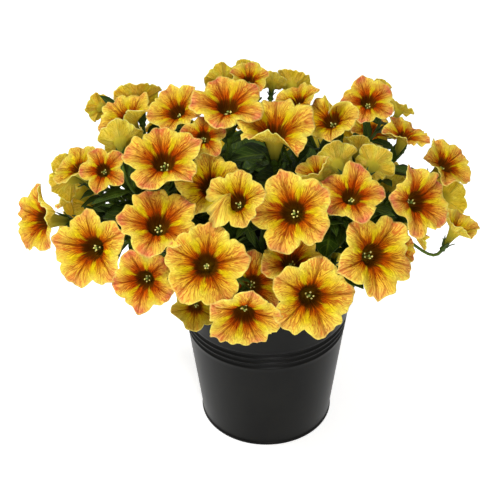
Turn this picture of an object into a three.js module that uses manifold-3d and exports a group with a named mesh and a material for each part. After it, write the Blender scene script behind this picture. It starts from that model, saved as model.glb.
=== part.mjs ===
// A petchoa in full flower: a dome of trumpet blooms over leafy stems, in a dark metal pot.
// Millimetres, +Z up, origin on the surface under the middle of the pot's base, +Y away from the viewer.
import * as THREE from 'three';
import { mergeVertices } from 'three/addons/utils/BufferGeometryUtils.js';
import Module from 'manifold-3d';

const wasm = await Module();
wasm.setup();

const GAP = 0.3; // clearance between two separate pieces

// Pot: a tapered sheet-metal bucket with three pressed grooves, a rolled rim and a seam round the base
const POT_HEIGHT = 135;
const BASE_RADIUS = 51;
const RIM_RADIUS = 67;
const WALL = 2.4;
const FLOOR = 2;
const SEAM = 0.9;
const SEAM_HEIGHT = 3.4;
const GROOVES = [88, 93.4, 98.8];
const GROOVE_HALF_WIDTH = 1.8;
const GROOVE_DEPTH = 1.2;
const RIM_BEAD = 2.2;
const POT_SIDES = 28;

// Soil, and the three rooted plants that stand in it
const SOIL_TOP = 121;
const SOIL_BUMP = 2.2;
const SOIL_SIDES = 24;
const CROWN_RING = 24;
const CROWN_ANGLES = [100, 220, 340];
const CROWN_RADIUS = 3.4;
const CROWN_FOOT = 96;
const CROWN_HEAD = 136;

// Bloom, for a limb of BLOOM_RADIUS: heights are along its axis from the middle of the throat's mouth
const BLOOM_RADIUS = 27;
const PETAL_THICKNESS = 0.8;
const TUBE_LENGTH = 28;
const TUBE_FOOT = [2.6, 5]; // radius and height of the pointed foot that sits in the calyx
const THROAT_RADIUS = 8.4;
const THROAT_DEPTH = 17;
const LIMB_MIDDLE = [17.5, 4.6];
const LIMB_EDGE = 5.4;
const LOBES = 5;
const SMALL_BLOOM = 20.3; // a bloom under this size has a straight-sided limb
const CREST_LEAN = 0.87; // how far a crest's thickness is turned from upright, in radians
const CREST_THICKNESS = 1.8; // how many times the petal's thickness it is

// Green parts
const STALK_RADIUS = 1.3;
const STALK_STEPS = 3;
const STUB_LENGTH = 12;
const CALYX_GAP = 0.6; // from the bloom's foot to the cup it sits in
const CALYX_DEPTH = 3.2;
const SEPAL_WALL = 0.55;
const SEPAL_TIP = [9.6, 13]; // reach from the axis and height above the bloom's foot
const SEPAL_NOTCH = [3.8, 3.6];
const BRANCH_RADIUS = 2;
const BRANCH_STEPS = 4;
const FORK_PITCH = 2.4; // each branch leaves the crown's stem this much below the one before it
const BRANCH_BLOOMS = 5;
const LEAF_LENGTH = 42;
const LEAF_WIDTH = 25;
const LEAF_THICKNESS = 0.7;
const LEAF_DROOP = 0.22;
const LEAF_FOLD = 0.14;
const LEAF_WAIST = 0.42; // where along it a leaf is widest
const LEAF_TRIES = 9;

// Ways to run a branch (how far towards its blooms, and how much it bows up) and a stalk (where it leaves
// the branch, how strongly it curves, and how far it bows up and sideways), in the order they are tried
const BRANCH_WAYS = [[0.62, 8], [0.62, 0], [0.5, 8], [0.5, 0], [0.62, 20], [0.4, 4], [0.75, 8], [0.3, 0]];
const STALK_WAYS = [0, -12, 12, -24, 24].flatMap((lift) => {
  return [0, -12, 12, -24, 24].flatMap((swing) => {
    return [0, 0.06, -0.05].flatMap((back) => [0.3, 0.45, 0.15].map((curl) => [back, curl, lift, swing]));
  });
});

// The dome that the blooms' mouths lie on
const DOME_CENTRE = new THREE.Vector3(-12, 0, 172);
const DOME_RADII = new THREE.Vector3(158, 135, 115);

// The viewpoint that the blooms' places were read from, in a square frame of 490 pixels
const VIEWPOINT = new THREE.Vector3(0, -743, 666);
const VIEW_PITCH = THREE.MathUtils.degToRad(34.55);
const VIEW_FOCAL = 1208;
const VIEW_MIDDLE = [266, 245];

// Each bloom that shows: its throat's pixel across and down, limb radius, which way it faces (right and up
// in the view, and 1 towards the viewer or -1 away), its share of the dome's radii, the direction of one
// lobe's tip in degrees, its notch depth, and how far its edge leans forward.
// What is unusual about a bloom comes last. A petal folded over: the fold's direction and half width in
// degrees, its turn in radians, and the share of the radius it starts at. A limb pinched up into a crest
// beside its throat: the crest's direction and half width in degrees, its reach and its rise.
const SEEN = [
  [244, 313, 24, 0.0, -0.6, 1, 1.0, 5, 0.13, 0.0],
  [310, 296, 27, 0.14, -0.1, 1, 1.0, 5, 0.14, 0.0],
  [206, 265, 26.8, 0.0, 0.08, 1, 1.0, 11, 0.09, 0.02],
  [372, 255, 27, 0.42, 0.03, 1, 1.0, 54, 0.14, 0.02],
  [93, 248, 26, -0.3, -0.06, 1, 1.0, 25, 0.15, 0.0],
  [293, 212, 26.5, -0.16, 0.1, 1, 1.0, 35, 0.15, 0.0],
  [158, 225, 26, 0.08, 0.46, 1, 1.0, 39, 0.15, -0.03],
  [145, 279, 21, -0.2, -0.2, 1, 0.97, 43, 0.17, -0.02],
  [237, 202, 20.5, -0.3, 0.35, 1, 1.0, 5, 0.13, 0.06, { crest: [205, 62, 0.5, 8.5] }],
  [351, 196.5, 21.3, 0.03, 0.5, 1, 1.0, 3, 0.17, -0.03],
  [415.5, 201, 25, 0.6, 0.05, 1, 0.99, 32, 0.17, -0.02],
  [163.5, 162, 25.6, 0.0, 0.53, 1, 1.0, 32, 0.16, -0.03],
  [227.5, 107, 24.5, 0.0, 0.62, 1, 1.02, 46, 0.16, -0.03],
  [274.5, 133.5, 27, 0.0, 0.62, 1, 1.0, 18, 0.15, 0.03, { fold: [262, 42, 1.1, 0.4] }],
  [103, 170, 16.5, -0.1, 0.25, 1, 1.0, 42, 0.26, -0.1],
  [203.5, 137, 15.5, 0.0, 0.3, 1, 0.95, 20, 0.24, -0.12],
  [368, 102, 19, 0.05, 0.45, 1, 1.02, 39, 0.16, -0.1],
  [252, 284, 22.5, 0.1, 0.1, 1, 0.9, 24, 0.13, 0.0],
  [291, 262, 21, 0.05, 0.4, 1, 0.88, 60, 0.13, 0.02],
  [195, 307, 16, -0.1, -0.42, 1, 0.88, 50, 0.2, -0.08],
  [210, 186, 23, -0.12, 0.3, 1, 0.88, 20, 0.13, 0.0],
  [177, 112, 20, -0.34, 0.5, 1, 0.98, 50, 0.14, 0.02],
  [128.5, 120, 20.5, -0.3, 0.5, 1, 0.98, 65, 0.13, 0.0, { fold: [315, 54, 1.75, 0.44] }],
  [331, 121, 20.5, -0.3, 0.5, 1, 0.97, 66, 0.12, 0.04, { fold: [66, 46, 2.8, 0.52] }],
  [370, 132, 19, 0.3, 0.72, 1, 0.93, 60, 0.13, 0.0],
  [404, 136, 17, 0.3, 0.75, 1, 1.0, 54, 0.16, 0.02],
  [43.5, 219, 24, -0.68, 0.05, 1, 0.99, 10, 0.16, 0.0, { fold: [30, 56, 1.6, 0.65] }],
  [249, 80, 14, 0.05, 0.62, 1, 1.0, 20, 0.15, 0.1],
  [444.5, 165, 20, 0.5, 0.5, 1, 1.0, 40, 0.12, 0.04],
  [455, 230, 15, 0.45, 0.76, 1, 0.97, 15, 0.13, 0.36],
  [445, 198, 17, 0.78, 0.14, -1, 0.96, 30, 0.15, 0.0],
  [400, 250, 12, 0.6, -0.1, 1, 0.8, 40, 0.15, 0.0],
  [78, 168, 18, -0.5, 0.65, 1, 0.97, 15, 0.14, 0.05],
  [72, 176, 18, -0.78, 0.2, -1, 0.93, 50, 0.12, 0.05],
  [121, 142, 16, -0.1, 0.72, -1, 0.97, 35, 0.12, 0.05],
  [100, 107, 11, -0.72, 0.3, -1, 1.0, 25, 0.13, 0.0],
  [138, 100, 18, -0.2, 0.88, -1, 1.0, 30, 0.13, 0.0],
  [222, 81, 13, -0.5, 0.55, -1, 1.0, 10, 0.13, 0.0],
  [246, 75, 12, 0.1, 0.7, -1, 1.04, 45, 0.13, 0.0],
  [272, 84, 10, 0.1, 0.85, -1, 1.0, 30, 0.13, 0.05],
  [292, 86, 15, 0.25, 0.85, -1, 1.0, 60, 0.13, 0.0],
  [298, 101, 16, -0.3, 0.75, 1, 0.96, 25, 0.14, 0.0],
  [399, 110, 11, 0.45, 0.88, -1, 1.0, 45, 0.14, 0.0],
  [378, 90, 10, 0.1, 0.7, -1, 1.02, 15, 0.18, 0.0],
  [337, 164, 16, -0.35, 0.6, -1, 0.98, 35, 0.12, 0.06],
  [356, 153, 14, 0.1, 0.75, -1, 1.0, 10, 0.12, 0.06],
  [373, 165, 14.5, 0.45, 0.6, -1, 0.97, 50, 0.12, 0.06],
  [316, 174, 13, -0.5, 0.72, 1, 0.95, 5, 0.16, 0.3],
  [386, 188, 14.5, 0.2, 0.6, -1, 0.92, 25, 0.12, 0.04],
  [334, 254, 12, 0.1, 0.55, -1, 0.86, 25, 0.12, 0.04],
];

// The far side, which no view was read for: clusters of three blooms that press on one another, each
// around a place given as degrees round the dome, height above its centre as a share of its radius, and
// share of the dome's radii
const FAR_CLUSTERS = [
  [16, 0.02, 0.77],
  [52, 0.3, 0.76],
  [90, 0.02, 0.86],
  [128, 0.3, 0.76],
  [167, -0.04, 0.84],
];
const FAR_RADIUS = 23;
const FAR_STEPS = [[-1, -0.35], [1, -0.35], [0, 1.1]]; // each bloom's place in its cluster, across and up

const GOLDEN_ANGLE = THREE.MathUtils.degToRad(137.508);
const UP = new THREE.Vector3(0, 0, 1);
const SIDE = new THREE.Vector3(1, 0, 0);

// A repeatable number from 0 to 1 for two whole numbers.
function chance(a, b) {
  let state = (Math.imul(a + 11, 73856093) ^ Math.imul(b + 7, 19349663)) >>> 0;
  for (let turn = 0; turn < 3; turn += 1) {
    state = (Math.imul(state ^ (state >>> 15), 2246822519) + 374761393) >>> 0;
  }
  return (state >>> 8) / 0x1000000;
}

function spread(a, b, low, high) {
  return low + (high - low) * chance(a, b);
}

const LOOKS = {
  petal: { color: 0xe8b02a, roughness: 0.6 },
  leaf: { color: 0x2f4a1c, roughness: 0.6 },
  soil: { color: 0x2a1d14, roughness: 0.95 },
  metal: { color: 0x2b2b2b, roughness: 0.4, metalness: 0.6 },
};

// Solids: closed three.js geometry that manifold-3d can join and cut

function solidOf(geometry) {
  const bare = geometry.index ? geometry.toNonIndexed() : geometry.clone();
  for (const name of Object.keys(bare.attributes)) {
    if (name !== 'position') bare.deleteAttribute(name);
  }
  const merged = mergeVertices(bare, 1e-3);
  const mesh = new wasm.Mesh({
    numProp: 3,
    vertProperties: merged.attributes.position.array,
    triVerts: new Uint32Array(merged.index.array),
  });
  return new wasm.Manifold(mesh);
}

function meshOf(solid, name, look) {
  const data = solid.getMesh();
  const geometry = new THREE.BufferGeometry();
  geometry.setAttribute('position', new THREE.BufferAttribute(data.vertProperties, 3));
  geometry.setIndex(new THREE.BufferAttribute(data.triVerts, 1));
  geometry.computeVertexNormals();
  const mesh = new THREE.Mesh(geometry, new THREE.MeshStandardMaterial(look));
  mesh.name = name;
  return mesh;
}

function boxesMeet(a, b) {
  const boxA = a.boundingBox();
  const boxB = b.boundingBox();
  return [0, 1, 2].every((k) => boxA.min[k] - GAP < boxB.max[k] && boxB.min[k] - GAP < boxA.max[k]);
}

function clears(solid, others) {
  return others.every((other) => !boxesMeet(solid, other) || solid.minGap(other, 2 * GAP) >= GAP);
}

// Joins rings of points, each [x, y, z], into one closed skin. A ring of one point is a pole.
function skin(rings) {
  const points = rings.flat();
  const triangles = [];
  let start = 0;
  for (let n = 0; n + 1 < rings.length; n += 1) {
    const [p, q] = [rings[n].length, rings[n + 1].length];
    const first = start;
    const a = (k) => first + (k % p);
    const b = (k) => first + p + (k % q);
    const [lastA, lastB] = [p > 1 ? p : 0, q > 1 ? q : 0];
    let i = 0;
    let j = 0;
    while (i < lastA || j < lastB) {
      if (j >= lastB || (i < lastA && (i + 0.5) / p <= (j + 0.5) / q)) {
        triangles.push(a(i), a(i + 1), b(j));
        i += 1;
      } else {
        triangles.push(a(i), b(j + 1), b(j));
        j += 1;
      }
    }
    start += p;
  }
  const geometry = new THREE.BufferGeometry();
  geometry.setAttribute('position', new THREE.Float32BufferAttribute(points.flat(), 3));
  geometry.setIndex(triangles);
  return geometry;
}

function ring(count, radiusAt, heightAt) {
  return Array.from({ length: count }, (_, k) => {
    const angle = (2 * Math.PI * k) / count;
    const radius = radiusAt(k);
    return [radius * Math.cos(angle), radius * Math.sin(angle), heightAt(k)];
  });
}

// Pot

function potRadius(height) {
  return BASE_RADIUS + ((RIM_RADIUS - BASE_RADIUS) * height) / POT_HEIGHT;
}

function makePot() {
  const wallAt = (height, out) => new THREE.Vector2(potRadius(height) + out, height);
  const grooves = GROOVES.flatMap((height) => [
    wallAt(height - GROOVE_HALF_WIDTH, 0),
    wallAt(height, -GROOVE_DEPTH),
    wallAt(height + GROOVE_HALF_WIDTH, 0),
  ]);
  const profile = [
    new THREE.Vector2(0, 0),
    wallAt(0, -1.2),
    wallAt(0.7, SEAM),
    wallAt(SEAM_HEIGHT - 0.7, SEAM),
    wallAt(SEAM_HEIGHT, 0),
    ...grooves,
    wallAt(POT_HEIGHT - 2 * RIM_BEAD, 0),
    wallAt(POT_HEIGHT - 1.7 * RIM_BEAD, 0.7 * RIM_BEAD),
    wallAt(POT_HEIGHT - RIM_BEAD, RIM_BEAD),
    wallAt(POT_HEIGHT - 0.3 * RIM_BEAD, 0.7 * RIM_BEAD),
    wallAt(POT_HEIGHT, 0),
    wallAt(POT_HEIGHT - 0.3 * RIM_BEAD, -0.7 * WALL),
    wallAt(POT_HEIGHT - RIM_BEAD, -WALL),
    wallAt(FLOOR, -WALL),
    new THREE.Vector2(0, FLOOR),
  ];
  return solidOf(new THREE.LatheGeometry(profile, POT_SIDES).rotateX(Math.PI / 2));
}

// Soil

function crownPlace(number) {
  const angle = THREE.MathUtils.degToRad(CROWN_ANGLES[number]);
  return new THREE.Vector3(CROWN_RING * Math.cos(angle), CROWN_RING * Math.sin(angle), 0);
}

function makeSoil() {
  const inside = (height) => potRadius(height) - WALL - GAP - 0.3;
  const bump = (k, n) => SOIL_TOP + spread(k, n, -SOIL_BUMP, SOIL_BUMP);
  const half = SOIL_SIDES / 2;
  let soil = solidOf(
    skin([
      [[0, 0, FLOOR + GAP]],
      ring(SOIL_SIDES, () => inside(FLOOR + GAP), () => FLOOR + GAP),
      ring(SOIL_SIDES, () => inside(SOIL_TOP - 3), () => SOIL_TOP - 3),
      ring(SOIL_SIDES, () => 0.86 * inside(SOIL_TOP), (k) => bump(k, 1)),
      ring(half, () => 0.5 * inside(SOIL_TOP), (k) => bump(k, 2)),
      [[0, 0, SOIL_TOP + 1]],
    ]),
  );
  CROWN_ANGLES.forEach((_, number) => {
    const depth = SOIL_TOP + 10 - CROWN_FOOT;
    const hole = new THREE.CylinderGeometry(CROWN_RADIUS + 0.6, CROWN_RADIUS + 0.6, depth, 8);
    hole.rotateX(Math.PI / 2);
    const place = crownPlace(number);
    hole.translate(place.x, place.y, CROWN_FOOT - GAP + depth / 2);
    soil = soil.subtract(solidOf(hole));
  });
  return soil;
}

// View: from a pixel to a place on the dome, and from a leaning in the picture to a direction

const viewForward = new THREE.Vector3(0, Math.cos(VIEW_PITCH), -Math.sin(VIEW_PITCH));
const viewRight = new THREE.Vector3(1, 0, 0);
const viewUp = new THREE.Vector3().crossVectors(viewRight, viewForward);

function inView(right, up, forward) {
  return new THREE.Vector3()
    .addScaledVector(viewRight, right)
    .addScaledVector(viewUp, up)
    .addScaledVector(viewForward, forward);
}

function sightLine(across, down) {
  const right = (across - VIEW_MIDDLE[0]) / VIEW_FOCAL;
  const up = (VIEW_MIDDLE[1] - down) / VIEW_FOCAL;
  return inView(right, up, 1).normalize();
}

// Where the line first meets the dome with its radii times layer or, if it passes outside, comes closest.
function onDome(line, layer) {
  const radii = DOME_RADII.clone().multiplyScalar(layer);
  const from = VIEWPOINT.clone().sub(DOME_CENTRE).divide(radii);
  const along = line.clone().divide(radii);
  const closest = -from.dot(along) / along.lengthSq();
  const room = 1 - from.clone().addScaledVector(along, closest).lengthSq();
  const half = Math.sqrt(Math.max(0, room) / along.lengthSq());
  return VIEWPOINT.clone().addScaledVector(line, closest - half);
}

// Blooms

// The limb's edge: 20 points, four a lobe, from the tip over the shoulder to the notch and back. Each has
// its reach and lift as shares of the limb's radius.
function edgeShape(number, bloom) {
  const { notch, lean } = bloom;
  const tips = Array.from({ length: LOBES }, (_, k) => lean + spread(number, k, -0.16, 0.06));
  const seams = Array.from({ length: LOBES }, (_, k) => lean + spread(number, k + 10, -0.01, 0.11));
  return Array.from({ length: 4 * LOBES }, (_, k) => {
    const lobe = Math.floor((k + 1) / 4) % LOBES;
    const seam = Math.floor(k / 4) % LOBES;
    const wobble = spread(number, k + 20, -0.03, 0.03);
    if (k % 4 === 0) return { reach: 1.02 + wobble, lift: tips[lobe] };
    if (k % 4 === 2) return { reach: 1 - notch + wobble, lift: seams[seam] };
    const lift = (tips[lobe] + seams[seam]) / 2 + spread(number, k + 50, -0.05, 0.05);
    return { reach: 0.99 - 0.25 * notch + wobble, lift };
  });
}

// How strongly a fold or a crest is felt in a direction of the limb, from 1 in its middle to 0 at its sides
function nearness(degrees, [toward, width]) {
  const away = Math.abs(((degrees - toward + 540) % 360) - 180);
  return Math.cos(THREE.MathUtils.degToRad(90 * Math.min(1, away / width)));
}

// Turns over what lies beyond a fold's start. A point's tilt is how far its thickness is turned.
function foldOver(point, degrees, bloom) {
  if (!bloom.fold) return { ...point, tilt: 0, thickness: PETAL_THICKNESS };
  const [, , turn, from] = bloom.fold;
  const flap = Math.max(0, point.reach - from);
  const tilt = flap > 0 ? turn * nearness(degrees, bloom.fold) : 0;
  const reach = point.reach - flap * (1 - Math.cos(tilt));
  return { reach, lift: point.lift + flap * Math.sin(tilt), tilt, thickness: PETAL_THICKNESS };
}

// Draws a point of the limb's middle in over the throat and up
function crestUp(point, degrees, bloom) {
  if (!bloom.crest) return point;
  const [, , reach, rise] = bloom.crest;
  const near = nearness(degrees, bloom.crest);
  return {
    reach: THREE.MathUtils.lerp(point.reach, reach / bloom.radius, near),
    lift: point.lift + (rise / bloom.radius) * near,
    tilt: CREST_LEAN * near,
    thickness: THREE.MathUtils.lerp(1, CREST_THICKNESS, near) * PETAL_THICKNESS,
  };
}

function bloomSolid(number, bloom) {
  const size = bloom.radius / BLOOM_RADIUS;
  const flat = edgeShape(number, bloom);
  const edge = flat.map(({ reach, lift }, k) => {
    return foldOver({ reach, lift: LIMB_EDGE / BLOOM_RADIUS + lift }, k * 18, bloom);
  });
  const middle = Array.from({ length: 2 * LOBES }, (_, k) => {
    const reach = (LIMB_MIDDLE[0] / BLOOM_RADIUS) * (k % 2 ? 1 - 0.4 * bloom.notch : 1);
    const lift = LIMB_MIDDLE[1] / BLOOM_RADIUS + 0.45 * flat[2 * k].lift;
    return crestUp(foldOver({ reach, lift }, k * 36, bloom), k * 36, bloom);
  });
  const limb = (points, side) => {
    const reach = ({ reach, tilt, thickness }) => reach * bloom.radius - side * thickness * Math.sin(tilt);
    const lift = ({ lift, tilt, thickness }) => lift * bloom.radius + side * thickness * Math.cos(tilt);
    return ring(points.length, (k) => reach(points[k]), (k) => lift(points[k]));
  };
  const geometry = skin([
    [[0, 0, -TUBE_LENGTH * size]],
    ring(LOBES, () => TUBE_FOOT[0] * size, () => (TUBE_FOOT[1] - TUBE_LENGTH) * size),
    ring(LOBES, () => THROAT_RADIUS * size + 0.5, () => -0.4),
    ...(bloom.plain ? [] : [limb(middle, 0)]),
    limb(edge, 0),
    limb(edge, 1),
    ...(bloom.plain ? [] : [limb(middle, 1)]),
    ring(LOBES, () => THROAT_RADIUS * size - 0.5, () => 0.5),
    [[0, 0, -THROAT_DEPTH * size]],
  ]);
  return solidOf(geometry.applyMatrix4(frameOf(bloom)));
}

function frameOf(bloom) {
  const frame = new THREE.Matrix4();
  frame.makeBasis(bloom.side, new THREE.Vector3().crossVectors(bloom.facing, bloom.side), bloom.facing);
  return frame.setPosition(bloom.mouth);
}

// Gives a bloom its side direction: across its axis, as near as it can be to the wanted one.
function aim(bloom, wanted) {
  const side = wanted.clone().addScaledVector(bloom.facing, -wanted.dot(bloom.facing)).normalize();
  return { ...bloom, side };
}

function seenBloom(row) {
  const [across, down, radius, right, up, towards, layer, turn, notch, lean, unusual = {}] = row;
  const forward = -towards * Math.sqrt(Math.max(0.0025, 1 - right * right - up * up));
  const line = sightLine(across, down);
  const angle = THREE.MathUtils.degToRad(turn);
  const fromTurn = ([toward, ...rest]) => [toward - turn, ...rest];
  const bloom = {
    line,
    mouth: onDome(line, layer),
    facing: inView(right, up, forward).normalize(),
    radius,
    notch,
    lean,
    plain: radius < SMALL_BLOOM && !unusual.fold && !unusual.crest,
    fold: unusual.fold && fromTurn(unusual.fold),
    crest: unusual.crest && fromTurn(unusual.crest),
  };
  return aim(bloom, inView(Math.cos(angle), Math.sin(angle), 0));
}

// A bloom that would touch one in front of it, or whose stalk would, is set further back along the line
// of sight.
function settle(bloom, number, placed) {
  for (let step = 0; step < 60; step += 1) {
    const solid = bloomSolid(number, bloom);
    const stub = stubSolid(bloom);
    if (clears(solid, placed) && clears(stub, placed)) {
      placed.push(solid, stub);
      return solid;
    }
    bloom.mouth.addScaledVector(bloom.line, 1);
  }
  throw new Error(`no room for bloom ${number + 1}`);
}

// The straight end of a bloom's stalk, which its neighbours leave room for
function stubSolid(bloom) {
  const foot = pointAt(bloom, -TUBE_LENGTH).addScaledVector(bloom.facing, -CALYX_DEPTH);
  const behind = foot.clone().addScaledVector(bloom.facing, -0.5 * STUB_LENGTH);
  const inward = new THREE.Vector3(0, 0, CROWN_HEAD).sub(behind).setLength(STUB_LENGTH).add(behind);
  return stalkSolid(new THREE.QuadraticBezierCurve3(inward, behind, foot), bloom);
}

// Three blooms round a place on the far side, drawn together until their petals meet and join.
function farCluster(number, [degrees, height, layer]) {
  const angle = THREE.MathUtils.degToRad(degrees);
  for (let pitch = 0.98; pitch > 0.7; pitch -= 0.02) {
    const blooms = FAR_STEPS.map(([across, up], k) => {
      const turn = angle - (across * pitch * FAR_RADIUS) / DOME_RADII.y;
      const rise = height + (up * pitch * FAR_RADIUS) / DOME_RADII.z;
      const level = Math.sqrt(1 - rise * rise);
      const out = new THREE.Vector3(level * Math.cos(turn), level * Math.sin(turn), rise);
      const facing = out.clone().divide(DOME_RADII).normalize();
      facing.z += 0.25 + 0.25 * up;
      const bloom = {
        mouth: out.multiply(DOME_RADII).multiplyScalar(layer).add(DOME_CENTRE),
        facing: facing.normalize(),
        radius: FAR_RADIUS * spread(number + k, 91, 0.94, 1.06),
        notch: spread(number + k, 92, 0.12, 0.17),
        lean: 0,
        plain: true,
      };
      const spin = spread(number + k, 93, 0, 2 * Math.PI);
      return aim(bloom, new THREE.Vector3(Math.cos(spin), 0.3, Math.sin(spin)));
    });
    const solids = blooms.map((bloom, k) => bloomSolid(number + k, bloom));
    const joined = wasm.Manifold.union(solids);
    if (joined.decompose().length === 1) return { blooms, solid: joined };
  }
  throw new Error('a far cluster never joins up');
}

function makeBlooms() {
  const blooms = [];
  const solids = [];
  const placed = [];
  SEEN.forEach((row, index) => {
    const bloom = seenBloom(row);
    solids.push(settle(bloom, index, placed));
    blooms.push(bloom);
  });
  FAR_CLUSTERS.forEach((place) => {
    const cluster = farCluster(blooms.length, place);
    const parts = [cluster.solid, ...cluster.blooms.map(stubSolid)];
    if (!parts.every((part) => clears(part, placed))) throw new Error(`no room at ${place}`);
    placed.push(...parts);
    solids.push(cluster.solid);
    blooms.push(...cluster.blooms);
  });
  return { blooms, solids };
}

// Green parts

function pointAt(bloom, height) {
  return bloom.mouth.clone().addScaledVector(bloom.facing, (height * bloom.radius) / BLOOM_RADIUS);
}

// Three-sided rings along a curve. They turn as little as they can, back from the side given for its end.
function ringsAlong(curve, steps, radiusAt, endSide, from = 0) {
  const rings = [];
  const side = endSide.clone();
  for (let step = steps; step >= 0; step -= 1) {
    const t = from + ((1 - from) * step) / steps;
    const centre = curve.getPoint(t);
    const tangent = curve.getTangent(t);
    side.addScaledVector(tangent, -side.dot(tangent)).normalize();
    const other = new THREE.Vector3().crossVectors(tangent, side);
    rings.unshift(
      [0, 1, 2].map((k) => {
        const angle = (2 * Math.PI * k) / 3;
        return centre
          .clone()
          .addScaledVector(side, radiusAt(t) * Math.cos(angle))
          .addScaledVector(other, radiusAt(t) * Math.sin(angle))
          .toArray();
      }),
    );
  }
  return rings;
}

// The sepals' cup: a ring of five tips and five notches, from the bloom's frame into the plant's.
function sepalRing(bloom, inset) {
  const size = bloom.radius / BLOOM_RADIUS;
  const frame = frameOf(bloom);
  return Array.from({ length: 2 * LOBES }, (_, k) => {
    const [reach, height] = k % 2 === 0 ? SEPAL_TIP : SEPAL_NOTCH;
    const angle = (Math.PI * (k + 1)) / LOBES;
    const radius = reach * size + SEPAL_WALL * (1 - inset);
    const lift = (height - TUBE_LENGTH) * size - SEPAL_WALL * (1 - inset);
    return new THREE.Vector3(radius * Math.cos(angle), radius * Math.sin(angle), lift)
      .applyMatrix4(frame)
      .toArray();
  });
}

function stalkCurve(from, bloom, [bend, lift, swing]) {
  const foot = pointAt(bloom, -TUBE_LENGTH).addScaledVector(bloom.facing, -CALYX_DEPTH);
  const length = foot.distanceTo(from.place);
  const sideways = new THREE.Vector3().crossVectors(foot.clone().sub(from.place), UP).normalize();
  const bow = sideways.multiplyScalar(swing).addScaledVector(UP, lift);
  return new THREE.CubicBezierCurve3(
    from.place,
    from.place.clone().addScaledVector(from.heading, bend * length).lerp(foot, 0.3).add(bow),
    foot.clone().addScaledVector(bloom.facing, -Math.max(8, bend * length)).addScaledVector(bow, 0.7),
    foot,
  );
}

function stalkSolid(curve, bloom, from = 0) {
  const radiusAt = (t) => STALK_RADIUS * Math.min(1, 0.4 + 2 * t);
  const rings = ringsAlong(curve, STALK_STEPS, radiusAt, bloom.side, from);
  const middle = pointAt(bloom, -TUBE_LENGTH).addScaledVector(bloom.facing, -CALYX_GAP);
  return solidOf(
    skin([
      [curve.getPoint(from).toArray()],
      ...rings,
      sepalRing(bloom, 0),
      sepalRing(bloom, 1),
      [middle.toArray()],
    ]),
  );
}

function branchCurve(crown, tip, bend, fork) {
  const start = crown.clone().setZ(CROWN_HEAD - fork * FORK_PITCH);
  const bow = start.clone().lerp(tip, 0.5);
  bow.z += bend;
  return new THREE.QuadraticBezierCurve3(start, bow, tip);
}

function branchSolid(curve) {
  const rings = ringsAlong(curve, BRANCH_STEPS, (t) => BRANCH_RADIUS * (1.15 - 0.35 * t), SIDE);
  return solidOf(skin([[curve.getPoint(0).toArray()], ...rings, [curve.getPoint(1).toArray()]]));
}

function crownSolid(crown) {
  const height = CROWN_HEAD + CROWN_RADIUS - CROWN_FOOT;
  const stem = new THREE.CylinderGeometry(0.8 * CROWN_RADIUS, CROWN_RADIUS, height, 6);
  stem.rotateX(Math.PI / 2).translate(crown.x, crown.y, CROWN_FOOT + height / 2);
  return solidOf(stem);
}

// A leaf blade with a fold along its middle: a base, three points across its widest part, and a tip.
function leafSolid(leaf) {
  const across = new THREE.Vector3().crossVectors(leaf.heading, leaf.normal);
  const at = (along, over) => {
    const rise = Math.abs(over) * LEAF_FOLD * leaf.width - LEAF_DROOP * along ** 2 * leaf.length;
    return leaf.base
      .clone()
      .addScaledVector(leaf.heading, along * leaf.length)
      .addScaledVector(across, over * 0.5 * leaf.width)
      .addScaledVector(leaf.normal, rise);
  };
  const top = [at(0, 0), at(LEAF_WAIST, -1), at(LEAF_WAIST, 0), at(LEAF_WAIST, 1), at(1, 0)];
  const under = top.map((point) => point.clone().addScaledVector(leaf.normal, -LEAF_THICKNESS));
  const triangles = [];
  for (const [a, b, c] of [[0, 2, 1], [0, 3, 2], [1, 2, 4], [2, 3, 4]]) {
    triangles.push(a, b, c, c + 5, b + 5, a + 5);
  }
  for (const [a, b] of [[0, 3], [3, 4], [4, 1], [1, 0]]) {
    triangles.push(b, a, a + 5, b, a + 5, b + 5);
  }
  const geometry = new THREE.BufferGeometry();
  geometry.setFromPoints([...top, ...under]).setIndex(triangles);
  return solidOf(geometry);
}

// The blooms of one plant, in groups of neighbours that share a branch
function groupsFor(crown, blooms) {
  const angleOf = (bloom) => {
    const foot = pointAt(bloom, -TUBE_LENGTH);
    return Math.atan2(foot.y - crown.y, foot.x - crown.x);
  };
  const order = blooms.slice().sort((a, b) => angleOf(a) - angleOf(b));
  const count = Math.ceil(order.length / BRANCH_BLOOMS);
  return Array.from({ length: count }, (_, k) => {
    return order.slice(Math.round((k * order.length) / count), Math.round(((k + 1) * order.length) / count));
  });
}

function branchTip(crown, group, share) {
  const head = crown.clone().setZ(CROWN_HEAD);
  const middle = new THREE.Vector3();
  group.forEach((bloom) => middle.addScaledVector(pointAt(bloom, -TUBE_LENGTH), 1 / group.length));
  return head.lerp(middle, share);
}

// The first choice that fits, or null
function firstFit(choices, fits) {
  for (const choice of choices) {
    if (fits(choice)) return choice;
  }
  return null;
}

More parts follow.
